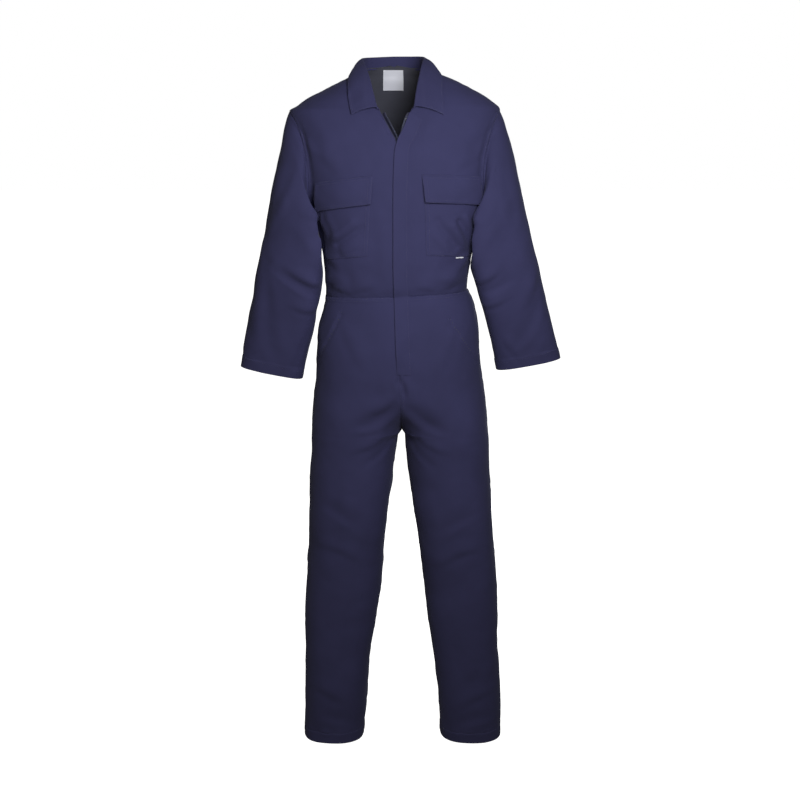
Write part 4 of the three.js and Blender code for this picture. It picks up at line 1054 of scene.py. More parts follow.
for side, name in SIDE_NAMES.items():
    inside = np.array([side * 100 + 15, 0, -1000])
    for face in (FRONT, BACK):
        grid = leg_panel(side, face)
        start, end, low, high = runs_from_edges(grid)
        z = grid[:, :1, 2]
        inside_leg = 1 - ease(z, CROTCH_Z - 8, CROTCH_Z)
        crotch = (1 - ease(z, CROTCH_START_Z - 10, CROTCH_START_Z + 20)) * ease(z, CROTCH_Z - 60, CROTCH_Z)
        welt_side = float(face == BACK)
        welt_middle = lerp(float(side == LEFT), welt_side, inside_leg)
        from_hem = np.minimum(low, np.abs(high - HEM_DEEP))
        relief = (seam_relief(end, welt_side) + seam_relief(start, welt_middle) + seam_relief(low, 1)
                  + puckered(grid, np.minimum(np.minimum(start, end), from_hem))
                  + hem_relief(grid, high, proud=0.8, wave=0.9, length=40, reach=45))
        if face == FRONT:
            relief = relief + mouth_relief(grid, side)
        relief = relief * lerp(1, ease(start, 0, CROTCH_SEAM_HOLDS), crotch)
        folds = (crease_lift(grid, LEG_CREASES) + uneven(grid)) * ease(low, 0, FOLDS_FADE)
        folds = folds * lerp(1, ease(start, 0, CROTCH_HOLDS), crotch)
        grid = grid + grid_normals(grid, inside) * (relief + folds)[..., None]
        # The two edges of the crotch seam press into each other, so that no light shows between them
        grid[:, :2, 0] -= side * CROTCH_PRESS * crotch
        normals = grid_normals(grid, inside)
        under = grid - normals * hem_thickness(high)[..., None]
        worn = hem_wear(high) + 0.9 * hump(end, RUBBED_AT, RUBBED_WIDTH) * welt_side
        node = f"leg_{FACE_NAMES[face]}_{name}"
        piece = cloth_piece(f"{node}_twill", grid, under, twill, worn, straight=1, reverse=twill_reverse)
        keep_cloth(piece, [node], *LEG_CUTS[face])
        hem_row = -1 - STITCHED_HEM_LINE
        stitch(grid[hem_row], normals[hem_row])
        if face == FRONT:
            sew_mouth(grid, normals, side)
        below_crotch = grid[:, 0, 2] < CROTCH_Z
        middle_top = FLY_END_Z - 6 if face == FRONT else 0
        middle_seam = (grid[:, 0, 2] > CROTCH_Z) & (grid[:, 0, 2] < middle_top)
        for k in STITCHED_LINES:
            stitch(grid[k, 3:-3], normals[k, 3:-3])
            if face == BACK:
                stitch(grid[:, -1 - k], normals[:, -1 - k])
                stitch(grid[below_crotch, k], normals[below_crotch, k])
            if side == LEFT:
                stitch(grid[middle_seam, k], normals[middle_seam, k])

# Chest pockets and flaps
# Two patch pockets of the same twill are sewn to the fronts round three sides, each below a flap of
# two layers that is sewn along its top edge, stands clear below and is topstitched all round.
LAY_GAP = 0.5
PATCH = 1.0
POCKET_BULGE = 7
POCKET_STEPS = (30, 26)
POCKET_CUT, POCKET_AREA = (0.155, 0.17), 0.0235
FLAP_CLOTH = 1.6
FLAP_LIFT = 8
FLAP_STEPS = (8, 24)
FLAP_CUT, FLAP_AREA = (0.15, 0.07), 0.0104
# Points of a patch lie closer towards the side of the chest, where it curves away
ROUND_SIDE = 1.35
PATCH_LINES = np.array([0, 0.5, 1.4, 2.6, 4.6, 7.0, 8.2, 10.0, 13.5])
EDGE_RUBBED_AT, EDGE_RUBBED_WIDTH = 0.4, 1.1
POCKETS = {
    RIGHT: ((-49, -238, -173, -254), (-58, -392, -153, -404)),
    LEFT: ((69, -236, 190, -242), (74, -391, 169, -397)),
}
FLAPS = {
    RIGHT: ((-45, -215, -178, -232), (-49, -277, -176, -297)),
    LEFT: ((63, -212, 194, -217), (70, -273, 196, -280)),
}


SMALL_TURN = 0.01


def over_trunk(side, face, angle, z, height):
    """Points over the bodice, moved out from its cloth by a height."""
    near = np.maximum(angle, 5 * SMALL_TURN)
    point = trunk_point(side, face, angle, z)
    along = trunk_point(side, face, near + SMALL_TURN, z) - trunk_point(side, face, near - SMALL_TURN, z)
    upward = trunk_point(side, face, near, z + 1) - trunk_point(side, face, near, z - 1)
    normal = np.cross(along, upward)
    normal /= np.linalg.norm(normal, axis=-1, keepdims=True)
    away = point - np.stack(np.broadcast_arrays(trunk("centre", z), 0, point[..., 2]), -1)
    away[..., 2] = 0
    normal *= np.sign(np.sum(normal * away, axis=-1, keepdims=True))
    lift = crease_lift(point, BODICE_CREASES) + uneven(point) + height
    return point + normal * lift[..., None]


def over_front(x, z, height):
    """Points over the chest or, below the waist, over the hip front."""
    x, z, height = np.broadcast_arrays(x, z, height)
    chest = over_trunk(LEFT, FRONT, trunk_angle(LEFT, x, z), z, height)
    half = (legs("left_out", z) - legs("right_out", z)) / 2
    share = np.abs(x - (legs("left_out", z) + legs("right_out", z)) / 2) / half
    depth = legs("front", z) * (1 - np.minimum(share, 0.99) ** SQUARENESS) ** (1 / SQUARENESS)
    hip = tilted(x, -depth, z)
    out = crease_lift(hip, LEG_CREASES) + uneven(hip) + height
    hip[..., 1] -= out
    return np.where((z >= WAIST_Z)[..., None], chest, hip)


def shares(length, count):
    """Shares of a length with lines beside both ends and even steps between."""
    ends = PATCH_LINES / length
    between = np.linspace(ends[-1], 1 - ends[-1], count + 2)[1:-1]
    return np.concatenate([ends, between, 1 - ends[::-1]])


def corner_grid(top, bottom, rows, columns):
    """x and z between four corners, with lines of points beside every edge."""
    wide = np.hypot(top[2] - top[0], top[3] - top[1])
    tall = np.hypot(bottom[0] - top[0], bottom[1] - top[1])
    over = shares(wide, columns)
    down = shares(tall, rows)[:, None]
    run = 1 - (1 - over) ** ROUND_SIDE
    x = lerp(lerp(top[0], top[2], run), lerp(bottom[0], bottom[2], run), down)
    z = lerp(lerp(top[1], top[3], over), lerp(bottom[1], bottom[3], over), down)
    return x, z, over[None, :], down


def patch_relief(distance):
    """The turned edge of a patch stands a little proud, and its stitch lines press in."""
    pressed = sum(hump(distance, PATCH_LINES[k], STITCH_PRESS_WIDTH) for k in STITCHED_LINES)
    return 0.5 * (1 - ease(distance, 8, 10)) - STITCH_PRESS * pressed


def flat_creases(x, z, rows):
    """Creases drawn on a patch, from rows of two ends, width and lift."""
    total = 0
    for x0, z0, x1, z1, width, lift in rows:
        length = math.hypot(x1 - x0, z1 - z0)
        t = ((x - x0) * (x1 - x0) + (z - z0) * (z1 - z0)) / length ** 2
        away = np.abs((x - x0) * (z1 - z0) - (z - z0) * (x1 - x0)) / length / width
        along = np.maximum(np.maximum(-t, t - 1), 0) * length / width
        total = total + lift * np.exp(-away ** 2 - along ** 2)
    return total


POCKET_CREASES = {
    RIGHT: [
        (-124, -366, -68, -328, 6, -6),
        (-132, -352, -90, -318, 9, 4),
        (-108, -384, -70, -362, 8, 3.5),
        (-150, -300, -128, -344, 9, 3),
    ],
    LEFT: [
        (146, -316, 178, -376, 5.5, -9),
        (132, -326, 160, -382, 8, 5),
        (160, -306, 186, -352, 7, 4),
        (98, -314, 140, -372, 8, -4.5),
        (86, -340, 118, -380, 9, 3),
    ],
}
for side, name in SIDE_NAMES.items():
    x, z, over, down = corner_grid(*POCKETS[side], *POCKET_STEPS)
    middle = np.sin(np.pi * over) * np.sin(np.pi * down) * down ** 0.5
    creased = flat_creases(x, z, POCKET_CREASES[side]) * np.minimum(1, 2.2 * middle)
    inner = over_front(x, z, LAY_GAP + np.maximum(POCKET_BULGE * middle + creased, 0))
    start, end, _, high = runs_from_edges(inner)
    edge = np.minimum(np.minimum(start, end), high)
    relief = patch_relief(edge) + puckered(inner, edge) * 0.7
    wall = PATCH * ease(edge, -1.2, 1.4) + relief
    normals = grid_normals(inner, BODICE_INSIDE)
    outer = inner + normals * wall[..., None]
    worn = 0.4 * hump(edge, EDGE_RUBBED_AT, EDGE_RUBBED_WIDTH)
    piece = cloth_piece(f"pocket_{name}_twill", outer, inner, twill, worn)
    keep_cloth(piece, [f"pocket_{name}"], POCKET_CUT, POCKET_AREA, held="laid", rests_on=f"front_{name}")
    normals = grid_normals(outer, BODICE_INSIDE)
    for k in STITCHED_LINES:
        stitch(outer[:-1 - k, k], normals[:-1 - k, k])
        stitch(outer[:-1 - k, -1 - k], normals[:-1 - k, -1 - k])
        stitch(outer[-1 - k, k:-k], normals[-1 - k, k:-k])

FLAP_CREASES = {
    RIGHT: [(-60, -262, -96, -240, 10, 1.0), (-150, -262, -118, -284, 9, -1.0)],
    LEFT: [(84, -258, 126, -238, 10, 1.0), (176, -250, 148, -270, 9, -1.0)],
}
for side, name in SIDE_NAMES.items():
    x, z, over, down = corner_grid(*FLAPS[side], *FLAP_STEPS)
    lift = FLAP_LIFT * (1 - 0.35 * over ** 3) * np.sin(np.pi / 2 * down) ** 0.75
    wave = 0.9 * np.sin(2.2 * np.pi * over + side) * down ** 2
    creased = flat_creases(x, z, FLAP_CREASES[side]) * down
    inner = over_front(x, z, LAY_GAP + lift + wave + creased)
    start, end, low, high = runs_from_edges(inner)
    edge = np.minimum(np.minimum(start, end), np.minimum(low, high))
    relief = patch_relief(edge) + puckered(inner, edge) * 0.6
    wall = FLAP_CLOTH * ease(edge, -1.4, 1.6) + relief
    normals = grid_normals(inner, BODICE_INSIDE)
    outer = inner + normals * wall[..., None]
    worn = 0.5 * hump(edge, EDGE_RUBBED_AT, EDGE_RUBBED_WIDTH)
    piece = cloth_piece(f"pocket_flap_{name}_twill", outer, inner, twill, worn)
    keep_cloth(piece, [f"pocket_flap_{name}"], FLAP_CUT, FLAP_AREA, held="laid", rests_on=f"pocket_{name}")
    normals = grid_normals(outer, BODICE_INSIDE)
    for k in STITCHED_LINES:
        stitch(outer[k, k:-k], normals[k, k:-k])
        stitch(outer[k:-k, k], normals[k:-k, k])
        stitch(outer[k:-k, -1 - k], normals[k:-k, -1 - k])
        stitch(outer[-1 - k, k:-k], normals[-1 - k, k:-k])

# Fly flap
# A folded strip of the same twill covers the zip from the collar down to the hips. It is sewn to
# the left front along one edge. Its free folded edge lies over the middle and follows the open V.
fly_edge = table("z x", [
    (-660, 8),
    (-600, 5),
    (-513, 2),
    (-400, -1),
    (-267, -1),
    (-165, 2),
    (-135.7, 9),
    (-120, 17),
    (-104, 24.5),
    (-88, 31),
    (-78, 35),
])
FLY_CUT, FLY_AREA = (0.036, 0.6), 0.0205
FLY_WIDTH = 33
FLY_LINES = np.array([0, 0.4, 1.2, 2.4, 4.2, 7, 11, 16, 21, 25, 28, 30.4, 31.6, 32.4, 33])
FLY_STITCHED_LINE = 11
FLY_STEPS = 150
FLY_TOP_Z, FLY_BOTTOM_Z = -78, -660
FLY_LIFT = 2.8
# Along the V the strip turns with the edge: narrower across, and slanting down
FLY_TURN_Z, FLY_TURNS_OVER = -150, 25
FLY_NARROWS, FLY_SLANT = 0.9, 0.45
FLY_SETTLES_OVER = 45

over = FLY_LINES / FLY_WIDTH
z = np.linspace(FLY_TOP_Z, FLY_BOTTOM_Z, FLY_STEPS)[:, None]
turned = np.clip((z - FLY_TURN_Z) / FLY_TURNS_OVER, 0, 1)
x = fly_edge("x", z) + FLY_WIDTH * over * lerp(1, FLY_NARROWS, turned)
z = z - FLY_WIDTH * over * FLY_SLANT * turned
settled = ease(z, FLY_BOTTOM_Z, FLY_BOTTOM_Z + FLY_SETTLES_OVER)
free = (1 - over) * settled
wave = 0.5 * soft_noise(np.stack([x, 0 * x, z], -1), 42) * free
inner = over_front(x, z, LAY_GAP + FLY_LIFT * free + np.maximum(wave, -1))
from_edge, from_seam = FLY_WIDTH * over, FLY_WIDTH * (1 - over)
thick = lerp(1 + 1.2 * settled, 1, over) * ease(from_edge, -1, 1.6) - 0.45 * hump(from_seam, 2, 1)
normals = grid_normals(inner, BODICE_INSIDE)
outer = inner + normals * (thick * np.ones_like(x))[..., None]
worn = hump(from_edge, 0.6, RUBBED_WIDTH) + 0.3 * hump(from_seam, 0.5, RUBBED_WIDTH)
piece = cloth_piece("fly_flap_twill", outer, inner, twill, worn * np.ones_like(x))
keep_cloth(piece, ["fly_flap"], FLY_CUT, FLY_AREA, held="laid", rests_on="front_left")
normals = grid_normals(outer, BODICE_INSIDE)
stitch(outer[:, FLY_STITCHED_LINE], normals[:, FLY_STITCHED_LINE])

# Zip
# A nickel-plated metal zip with navy woven tapes, sewn behind the edges of the fronts. Its slider is
# up at the foot of the V, with the pull tab hanging behind the fly, and a stop ends the left row of teeth.
ZIP_TOP_Z = -166
TAPE_TOP_Z = -77
TAPE_LINES = np.array([0, 0.5, 2, 4, 5.5, 7, 9, 11.5, 13.3, 14])
TAPE_STEPS = 170
TAPE = 0.8
# The tape lies this far inside the cloth's outer face
TAPE_BEHIND = CLOTH + 1.1
# How far it reaches past the edge below the slider and along the V, where it sinks and then springs out
TAPE_CLOSED, TAPE_OPENS_OVER = 1.8, 45
TAPE_SHOWS = {RIGHT: 10, LEFT: 6}
TAPE_HOLLOW = 4.5
TAPE_SPRINGS = 4
TOOTH_PITCH = 2.6
TOOTH_LINE = 2
TOOTH = (1.6, 4.6, 2.2)
CLOSED_TOOTH = (1.2, 3.4, 1.9)
FIRST_TOOTH = {RIGHT: 1, LEFT: 1.5}


def woven_tape(name, cloth, ribbed):
    """Woven polyester tape in navy, partly its dye and partly painted shade: a smooth cord-like face with
    fine ribs across it.
    """
    material, tree = new_material(name)
    grain = add(tree, "ShaderNodeUVMap", {"uv_map": "grain"}).outputs["UV"]
    turned = add(tree, "ShaderNodeMapping", {"Rotation": (0, 0, math.radians(90))}, {"Vector": grain})
    # The real ribs are 0.6 mm apart, too fine to show: they are drawn 2 mm apart
    ribs = add(tree, "ShaderNodeTexWave", {"Scale": band_scale(2.0)}, {"Vector": turned.outputs[0]})
    weave = add(tree, "ShaderNodeBump", {"Strength": 0.4, "Distance": 0.0003},
                {"Height": ribs.outputs["Fac"]})
    dye = add(tree, "ShaderNodeMix",
              {"data_type": "RGBA", FIRST_COLOUR: linear(cloth), SECOND_COLOUR: linear(ribbed)},
              {0: ribs.outputs["Fac"]})
    shader = add(tree, "ShaderNodeBsdfPrincipled", {"Roughness": 0.7, "IOR": 1.5},
                 {"Base Color": dye.outputs[MIXED_COLOUR], "Normal": weave.outputs[0]})
    add(tree, "ShaderNodeOutputMaterial", {}, {"Surface": shader.outputs[0]})
    return material


def nickel_plate(name, colour, roughness):
    """Nickel-plated brass, die-struck and tumbled: bright, a little hazy, with fine rub marks."""
    material, tree = new_material(name)
    place = add(tree, "ShaderNodeTexCoord").outputs["Object"]
    # Tumbling leaves marks about 1.5 mm long
    rub = add(tree, "ShaderNodeTexNoise", {"Scale": 700, "Detail": 3}, {"Vector": place})
    haze = add(tree, "ShaderNodeMapRange", {TO_LOW: roughness - 0.08, TO_HIGH: roughness + 0.12},
               {0: rub.outputs[0]})
    marks = add(tree, "ShaderNodeBump", {"Strength": 0.15, "Distance": 0.0001}, {"Height": rub.outputs[0]})
    shader = add(tree, "ShaderNodeBsdfPrincipled", {"Base Color": linear(colour), "Metallic": 1.0},
                 {"Roughness": haze.outputs[0], "Normal": marks.outputs[0]})
    add(tree, "ShaderNodeOutputMaterial", {}, {"Surface": shader.outputs[0]})
    return material


# The tape's navy is darker than the twill's: partly its own dye, and partly painted shade for the shadowed
# groove beside the teeth along the V
tape_dye_and_shade = woven_tape("zip_tape_woven", "#20213a", "#2b2c46")
nickel = nickel_plate("nickel_plate", "#a4a6b6", 0.42)
# The teeth have dulled in wear and washing
dull_nickel = nickel_plate("nickel_plate_dulled", "#565a6e", 0.6)

teeth = no_parts()


def unit(vector):
    """The vector made one long."""
    return vector / np.linalg.norm(vector)


def block(parts, centre, along, out, sizes, narrow=0.7):
    """Adds a small block, bevelled towards its outer face, to a list of parts.

    Its sizes are its length along, its width and its height outwards.
    """
    along, out = unit(along), unit(out)
    aside = np.cross(out, along)
    length, width, height = sizes
    rings = []
    for level, share in ((-0.5, 1), (0.2, 1), (0.5, narrow)):
        for a, b in ((-1, -1), (1, -1), (1, 1), (-1, 1)):
            rings.append(centre + along * length / 2 * a * share + aside * width / 2 * b * share
                         + out * height * level)
    faces = [(3, 2, 1, 0), (8, 9, 10, 11)]
    for ring in (0, 4):
        for k in range(4):
            faces.append((ring + k, ring + (k + 1) % 4, ring + 4 + (k + 1) % 4, ring + 4 + k))
    parts["points"].append(np.array(rings))
    parts["faces"].append(np.array(faces) + parts["count"])
    parts["count"] += len(rings)


def parts_piece(name, parts, material, smooth=False):
    """One mesh of all the small parts in a list."""
    mesh = bpy.data.meshes.new(name)
    faces = np.concatenate(parts["faces"]).tolist()
    mesh.from_pydata((np.concatenate(parts["points"]) * MM).tolist(), [], faces)
    if smooth:
        mesh.shade_smooth()
    mesh.materials.append(material)
    piece = bpy.data.objects.new(name, mesh)
    bpy.context.scene.collection.objects.link(piece)
    return piece


def fixed_to(piece, node):
    """Hangs a small fixed piece from the root and hides the CAD node it stands for."""
    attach(piece, "root")
    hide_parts(node)


def tape_shows(side, z):
    """How far the tape reaches past the front's edge: it parts above the slider."""
    return lerp(TAPE_CLOSED, TAPE_SHOWS[side], np.clip((z - ZIP_TOP_Z) / TAPE_OPENS_OVER, 0, 1))


for side, name in SIDE_NAMES.items():
    z = np.linspace(TAPE_TOP_Z, ZIP_BOTTOM_Z, TAPE_STEPS)[:, None]
    past = tape_shows(side, z) - TAPE_LINES
    x = front_edge(name, z) - side * past
    up = ease(past, 3, 8)
    sunk = v_dip(np.maximum(-past, 0), z) + TAPE_HOLLOW * in_v(z) * (1 - up)
    sprung = TAPE_SPRINGS * up * in_v(z)
    under = over_front(x, z, (sprung - sunk) * (side == RIGHT) - TAPE_BEHIND)
    normals = grid_normals(under, BODICE_INSIDE)
    piece = cloth_piece(f"zip_tape_{name}_woven", under, under - normals * TAPE, tape_dye_and_shade)
    fixed_to(piece, f"zip_tape_{name}")
    line = under[:, TOOTH_LINE]
    run = np.concatenate([[0], np.cumsum(np.linalg.norm(np.diff(line, axis=0), axis=1))])
    for at in np.arange(TOOTH_PITCH * FIRST_TOOTH[side], run[-1] - 2, TOOTH_PITCH):
        centre = np.array([np.interp(at, run, line[:, k]) for k in range(3)])
        if ZIP_TOP_Z + 6 < centre[2] < TAPE_TOP_Z - 9:
            row = np.searchsorted(run, at)
            out = normals[row, TOOTH_LINE]
            block(teeth, centre + out * 0.2, line[row] - line[row - 1], out, TOOTH)

# Below the slider the teeth of both sides lie in one row, in turns to the left and the right
FACING = np.array([0, -1.0, 0])
z = np.arange(ZIP_TOP_Z - 2, ZIP_BOTTOM_Z + 3, -TOOTH_PITCH / 2)
x = front_edge("seam", z) + np.where(np.arange(len(z)) % 2, 0.9, -0.9)
chain = over_front(x, z, -CLOTH - 1.4)
for k in range(1, len(chain) - 1):
    block(teeth, chain[k], chain[k + 1] - chain[k - 1], FACING, CLOSED_TOOTH)
piece = parts_piece("zip_teeth", teeth, dull_nickel)
fixed_to(piece, "zip_chain")

# The slider's body, the bridge on it, the link and the tab: which of three places each lies at, its
# shift from there, its sizes and how far its outer face narrows
SLIDER_PLACES = ZIP_TOP_Z - np.array([4, 13, 26])
SLIDER_BLOCKS = (
    (0, (0, 0.4, 0), (11, 8.2, 1.5), 0.82),
    (0, (0, 0.2, -1), (7, 2.6, 2.3), 0.6),
    (1, (0, 0.3, 0), (6, 3.2, 1.1), 0.8),
    (2, (0, 0.3, 0), (20, 4.6, 1.1), 0.85),
)
slider = no_parts()
places = over_front(front_edge("seam", SLIDER_PLACES), SLIDER_PLACES, -0.4)
for k, shift, sizes, narrow in SLIDER_BLOCKS:
    block(slider, places[k] + shift, np.array([0, 0, -1.0]), FACING, sizes, narrow)
piece = parts_piece("zip_slider_and_tab", slider, nickel)
fixed_to(piece, "zip_slider")

# Two blocks clamped on the left tape's edge, in line with it
STOP_Z, STOP_BELOW = -90, 3.3
STOP_INSET = 3.4
STOP = (2.6, 4.4, 2.0)
stop = no_parts()
x = front_edge("left", STOP_Z) - STOP_INSET
x_below = front_edge("left", STOP_Z - 10) - STOP_INSET
for z in (STOP_Z, STOP_Z - STOP_BELOW):
    place = over_front(x, z, -0.9)
    along = over_front(x_below, STOP_Z - 10, 0) - place
    block(stop, place, along, np.array([-0.35, -1, 0.3]), STOP, 0.75)
piece = parts_piece("zip_top_stop_metal", stop, nickel)
fixed_to(piece, "zip_top_stop")

# Collar
# A turn-down collar of two layers with stiffening between: it stands from the neckline, folds over
# at the top and falls on the shoulders to two pointed leaves, with one line of topstitching.
collar = table("along centre fold_half fold_y fold_z edge_centre edge_half edge_z", [
    (0, 5, 43, -98, -66, 9.5, 101, -84),
    (0.14, 3, 50, -80, -32, 7, 104, -62),
    (0.28, 2, 58, -54, 2, 4, 104.5, -36),
    (0.42, 0, 67, -20, 31.5, 4, 105, -12),
    (0.56, -1, 71.5, 15, 44, 3, 99, 7.5),
    (0.7, -1, 62, 46, 48, 1, 86, 10),
    (0.85, -1, 36, 67, 50, 0, 46, 6),
    (0.93, -1, 17, 72, 50.7, 0, 22, 4.8),
    (1, -1, 0, 73, 51, 0, 0, 4.4),
])
COLLAR_CUT, COLLAR_AREA = (0.48, 0.105), 0.043
COLLAR_CLOTH = 1.8
COLLAR_FOLD_RADIUS = 2.2
COLLAR_LIFT = 4.5
COLLAR_BULGE = 11
COLLAR_SLANT = 0.022
# Shares of the way from the V to the middle of the back
COLLAR_AT_NECK_SIDE = 0.5
COLLAR_PASSES_SHOULDER = 0.56
# The foot of the stand is sewn further and further inside the neckline, from front to back
COLLAR_FOOT, COLLAR_TUCK = 0.5, 5
COLLAR_TUCKS_OVER = (0.2, 0.6)
COLLAR_AROUND, COLLAR_STEPS = 560, 120
STAND_STEPS, FALL_STEPS = 7, 14
FOLD_TURNS = np.radians([30, 60, 90, 120, 150])
NECKLINE_STEPS = 400
COLLAR_STITCH, COLLAR_STITCH_LINE = 4.6, 4
COLLAR_INSIDE = np.array([0, 0, -20])


def neckline_point(side, along):
    """A point of the neckline seam, from the V to the middle of the back."""
    if along <= COLLAR_AT_NECK_SIDE:
        z = lerp(SHOULDER_Z, NECK_SIDE_Z, along / COLLAR_AT_NECK_SIDE)
        return trunk_point(side, FRONT, trunk_angle(side, front_edge(SIDE_NAMES[side], z), z), z)
    turn = (along - COLLAR_AT_NECK_SIDE) / (1 - COLLAR_AT_NECK_SIDE) * math.pi / 2
    half = back_neck("half", NECK_SIDE_Z) * math.cos(turn)
    levels = np.linspace(NECK_SIDE_Z, NECK_BACK_Z, NECKLINE_STEPS)
    z = levels[np.argmin(np.abs(back_neck("half", levels) - half))]
    return trunk_point(side, BACK, trunk_angle(side, trunk("centre", z) + side * half, z), z)


def collar_row(share):
    """Points of the collar's middle layer, from its foot over the fold to its edge.

    The share runs round the neck, from the right end of the collar to the left one.
    """
    side = RIGHT if share < 0.5 else LEFT
    along = 1 - abs(2 * share - 1)
    fold_x = collar("centre", along) + side * collar("fold_half", along)
    fold = np.array([fold_x, collar("fold_y", along), collar("fold_z", along) + COLLAR_SLANT * fold_x])
    edge_x = collar("edge_centre", along) + side * collar("edge_half", along)
    edge_z = collar("edge_z", along)
    face = FRONT if along < COLLAR_PASSES_SHOULDER else BACK
    edge = over_trunk(side, face, trunk_angle(side, edge_x, edge_z), edge_z, COLLAR_LIFT)
    seam = neckline_point(side, along)
    up = unit(fold - (seam + edge) / 2)
    out = edge - seam
    out = unit(out - up * (out @ up))
    foot = seam - unit(fold - seam) * lerp(COLLAR_FOOT, COLLAR_TUCK, ease(along, *COLLAR_TUCKS_OVER))
    fold_in, fold_out = fold - out * COLLAR_FOLD_RADIUS, fold + out * COLLAR_FOLD_RADIUS
    row = [lerp(foot, fold_in, t) for t in np.linspace(0, 1, STAND_STEPS)]
    for turn in FOLD_TURNS:
        row.append(fold + (up * math.sin(turn) - out * math.cos(turn)) * COLLAR_FOLD_RADIUS)
    bulge = lerp(fold_out, edge, 0.5) + unit(up + out) * COLLAR_BULGE
    fall = np.linalg.norm(edge - fold_out) + 6
    lines = 1 - PATCH_LINES[::-1] / fall
    for t in np.concatenate([np.linspace(0, lines[0], FALL_STEPS)[:-1], lines]):
        row.append((1 - t) ** 2 * fold_out + 2 * t * (1 - t) * bulge + t * t * edge)
    return row


ends = PATCH_LINES[:-1] / COLLAR_AROUND
stations = np.concatenate([ends, np.linspace(0.026, 0.974, COLLAR_STEPS), 1 - ends[::-1]])
grid = np.array([collar_row(share) for share in stations])
start, end, low, high = runs_from_edges(grid)
edge = np.minimum(end, np.minimum(low, high))
fallen = ease(start, 32, 46)
relief = 0.35 * (1 - ease(edge, 5, 7)) - STITCH_PRESS * hump(edge, COLLAR_STITCH, 1)
relief = relief + 0.9 * soft_noise(grid, 30) * ease(edge, 0, 12)
relief = relief * fallen + 0.5 * puckered(grid, edge)
normals = grid_normals(grid, COLLAR_INSIDE)
# The normals look out of the fall, well away from the collar's ends
fall_out = grid[10:-10, -12] - COLLAR_INSIDE
normals *= np.sign(np.sum(normals[10:-10, -12] * fall_out))
grid = grid + normals * relief[..., None]
thick = COLLAR_CLOTH / 2 * ease(edge, -1.6, 1.4)[..., None]
outer, inner = grid + normals * thick, grid - normals * thick
worn = hump(edge, 0.3, EDGE_RUBBED_WIDTH) * fallen + 0.35 * hump(start, 34, 5)
piece = cloth_piece("collar_twill", outer, inner, twill, worn)
keep_cloth(piece, ["collar"], COLLAR_CUT, COLLAR_AREA, held="folded")
stitch(outer[:, -1 - COLLAR_STITCH_LINE], normals[:, -1 - COLLAR_STITCH_LINE])
for row in (COLLAR_STITCH_LINE, -1 - COLLAR_STITCH_LINE):
    stitch(outer[row, 20:-4], normals[row, 20:-4])

# Neck label and pocket tab
# A blank woven satin label is sewn inside the back of the neck along its top and bottom, and a small
# blank tab of the same satin is caught in the foot of the left pocket.
LABEL_RIGHT, LABEL_LEFT = -25, 23
LABEL_TOP, LABEL_BOTTOM = 25, -21
LABEL_STEPS = (21, 25)
LABEL_BOW = 0.6
LABEL_CLOTH = 0.6
LABEL_BEHIND = CLOTH + 1.4
TAB_X, TAB_Z = 149, -397.5
TAB_HALF, TAB_HEIGHT = 8, 2.6
TAB_STEPS = (7, 13)
TAB_CLOTH = 0.8


def woven_satin(name, cloth, ribbed):
    """Woven polyester satin, white: smooth, with a soft gloss along its fine close ribs."""
    material, tree = new_material(name)
    grain = add(tree, "ShaderNodeUVMap", {"uv_map": "grain"}).outputs["UV"]
    # The real ribs are 0.3 mm apart, too fine to show: they are drawn 1.5 mm apart
    ribs = add(tree, "ShaderNodeTexWave", {"Scale": band_scale(1.5)}, {"Vector": grain})
    tone = add(tree, "ShaderNodeMix",
               {"data_type": "RGBA", FIRST_COLOUR: linear(cloth), SECOND_COLOUR: linear(ribbed)},
               {0: ribs.outputs["Fac"]})
    weave = add(tree, "ShaderNodeBump", {"Strength": 0.2, "Distance": 0.0001},
                {"Height": ribs.outputs["Fac"]})
    shader = add(tree, "ShaderNodeBsdfPrincipled", {"Roughness": 0.5, "IOR": 1.5, "Sheen Weight": 0.2},
                 {"Base Color": tone.outputs[MIXED_COLOUR], "Normal": weave.outputs[0]})
    add(tree, "ShaderNodeOutputMaterial", {}, {"Surface": shader.outputs[0]})
    return material


def level_grid(left, right, top, bottom, steps):
    """x and z over an upright rectangle."""
    rows, columns = steps
    z, x = np.meshgrid(np.linspace(top, bottom, rows), np.linspace(left, right, columns), indexing="ij")
    return x, z


satin = woven_satin("label_satin", "#cfd1dd", "#c3c5d2")
x, z = level_grid(LABEL_RIGHT, LABEL_LEFT, LABEL_TOP, LABEL_BOTTOM, LABEL_STEPS)
bow = LABEL_BOW * np.sin(np.pi * (z - LABEL_BOTTOM) / (LABEL_TOP - LABEL_BOTTOM))
angle = trunk_angle(LEFT, x, z)
near = over_trunk(LEFT, BACK, angle, z, -(LABEL_BEHIND + LABEL_CLOTH + bow))
far = over_trunk(LEFT, BACK, angle, z, -(LABEL_BEHIND + bow))
piece = cloth_piece("neck_label_satin", near, far, satin)
fixed_to(piece, "neck_label")

x, z = level_grid(TAB_X - TAB_HALF, TAB_X + TAB_HALF, TAB_Z, TAB_Z - TAB_HEIGHT, TAB_STEPS)
rise = LAY_GAP + 0.8 * (TAB_Z - z) / TAB_HEIGHT
piece = cloth_piece("pocket_tab_satin", over_front(x, z, rise + TAB_CLOTH), over_front(x, z, rise), satin)
fixed_to(piece, "pocket_tab")

# Topstitching
# All the seams are topstitched in navy core-spun thread, about three stitches to the centimetre. The
# rows that the pieces above were given become one mesh here.


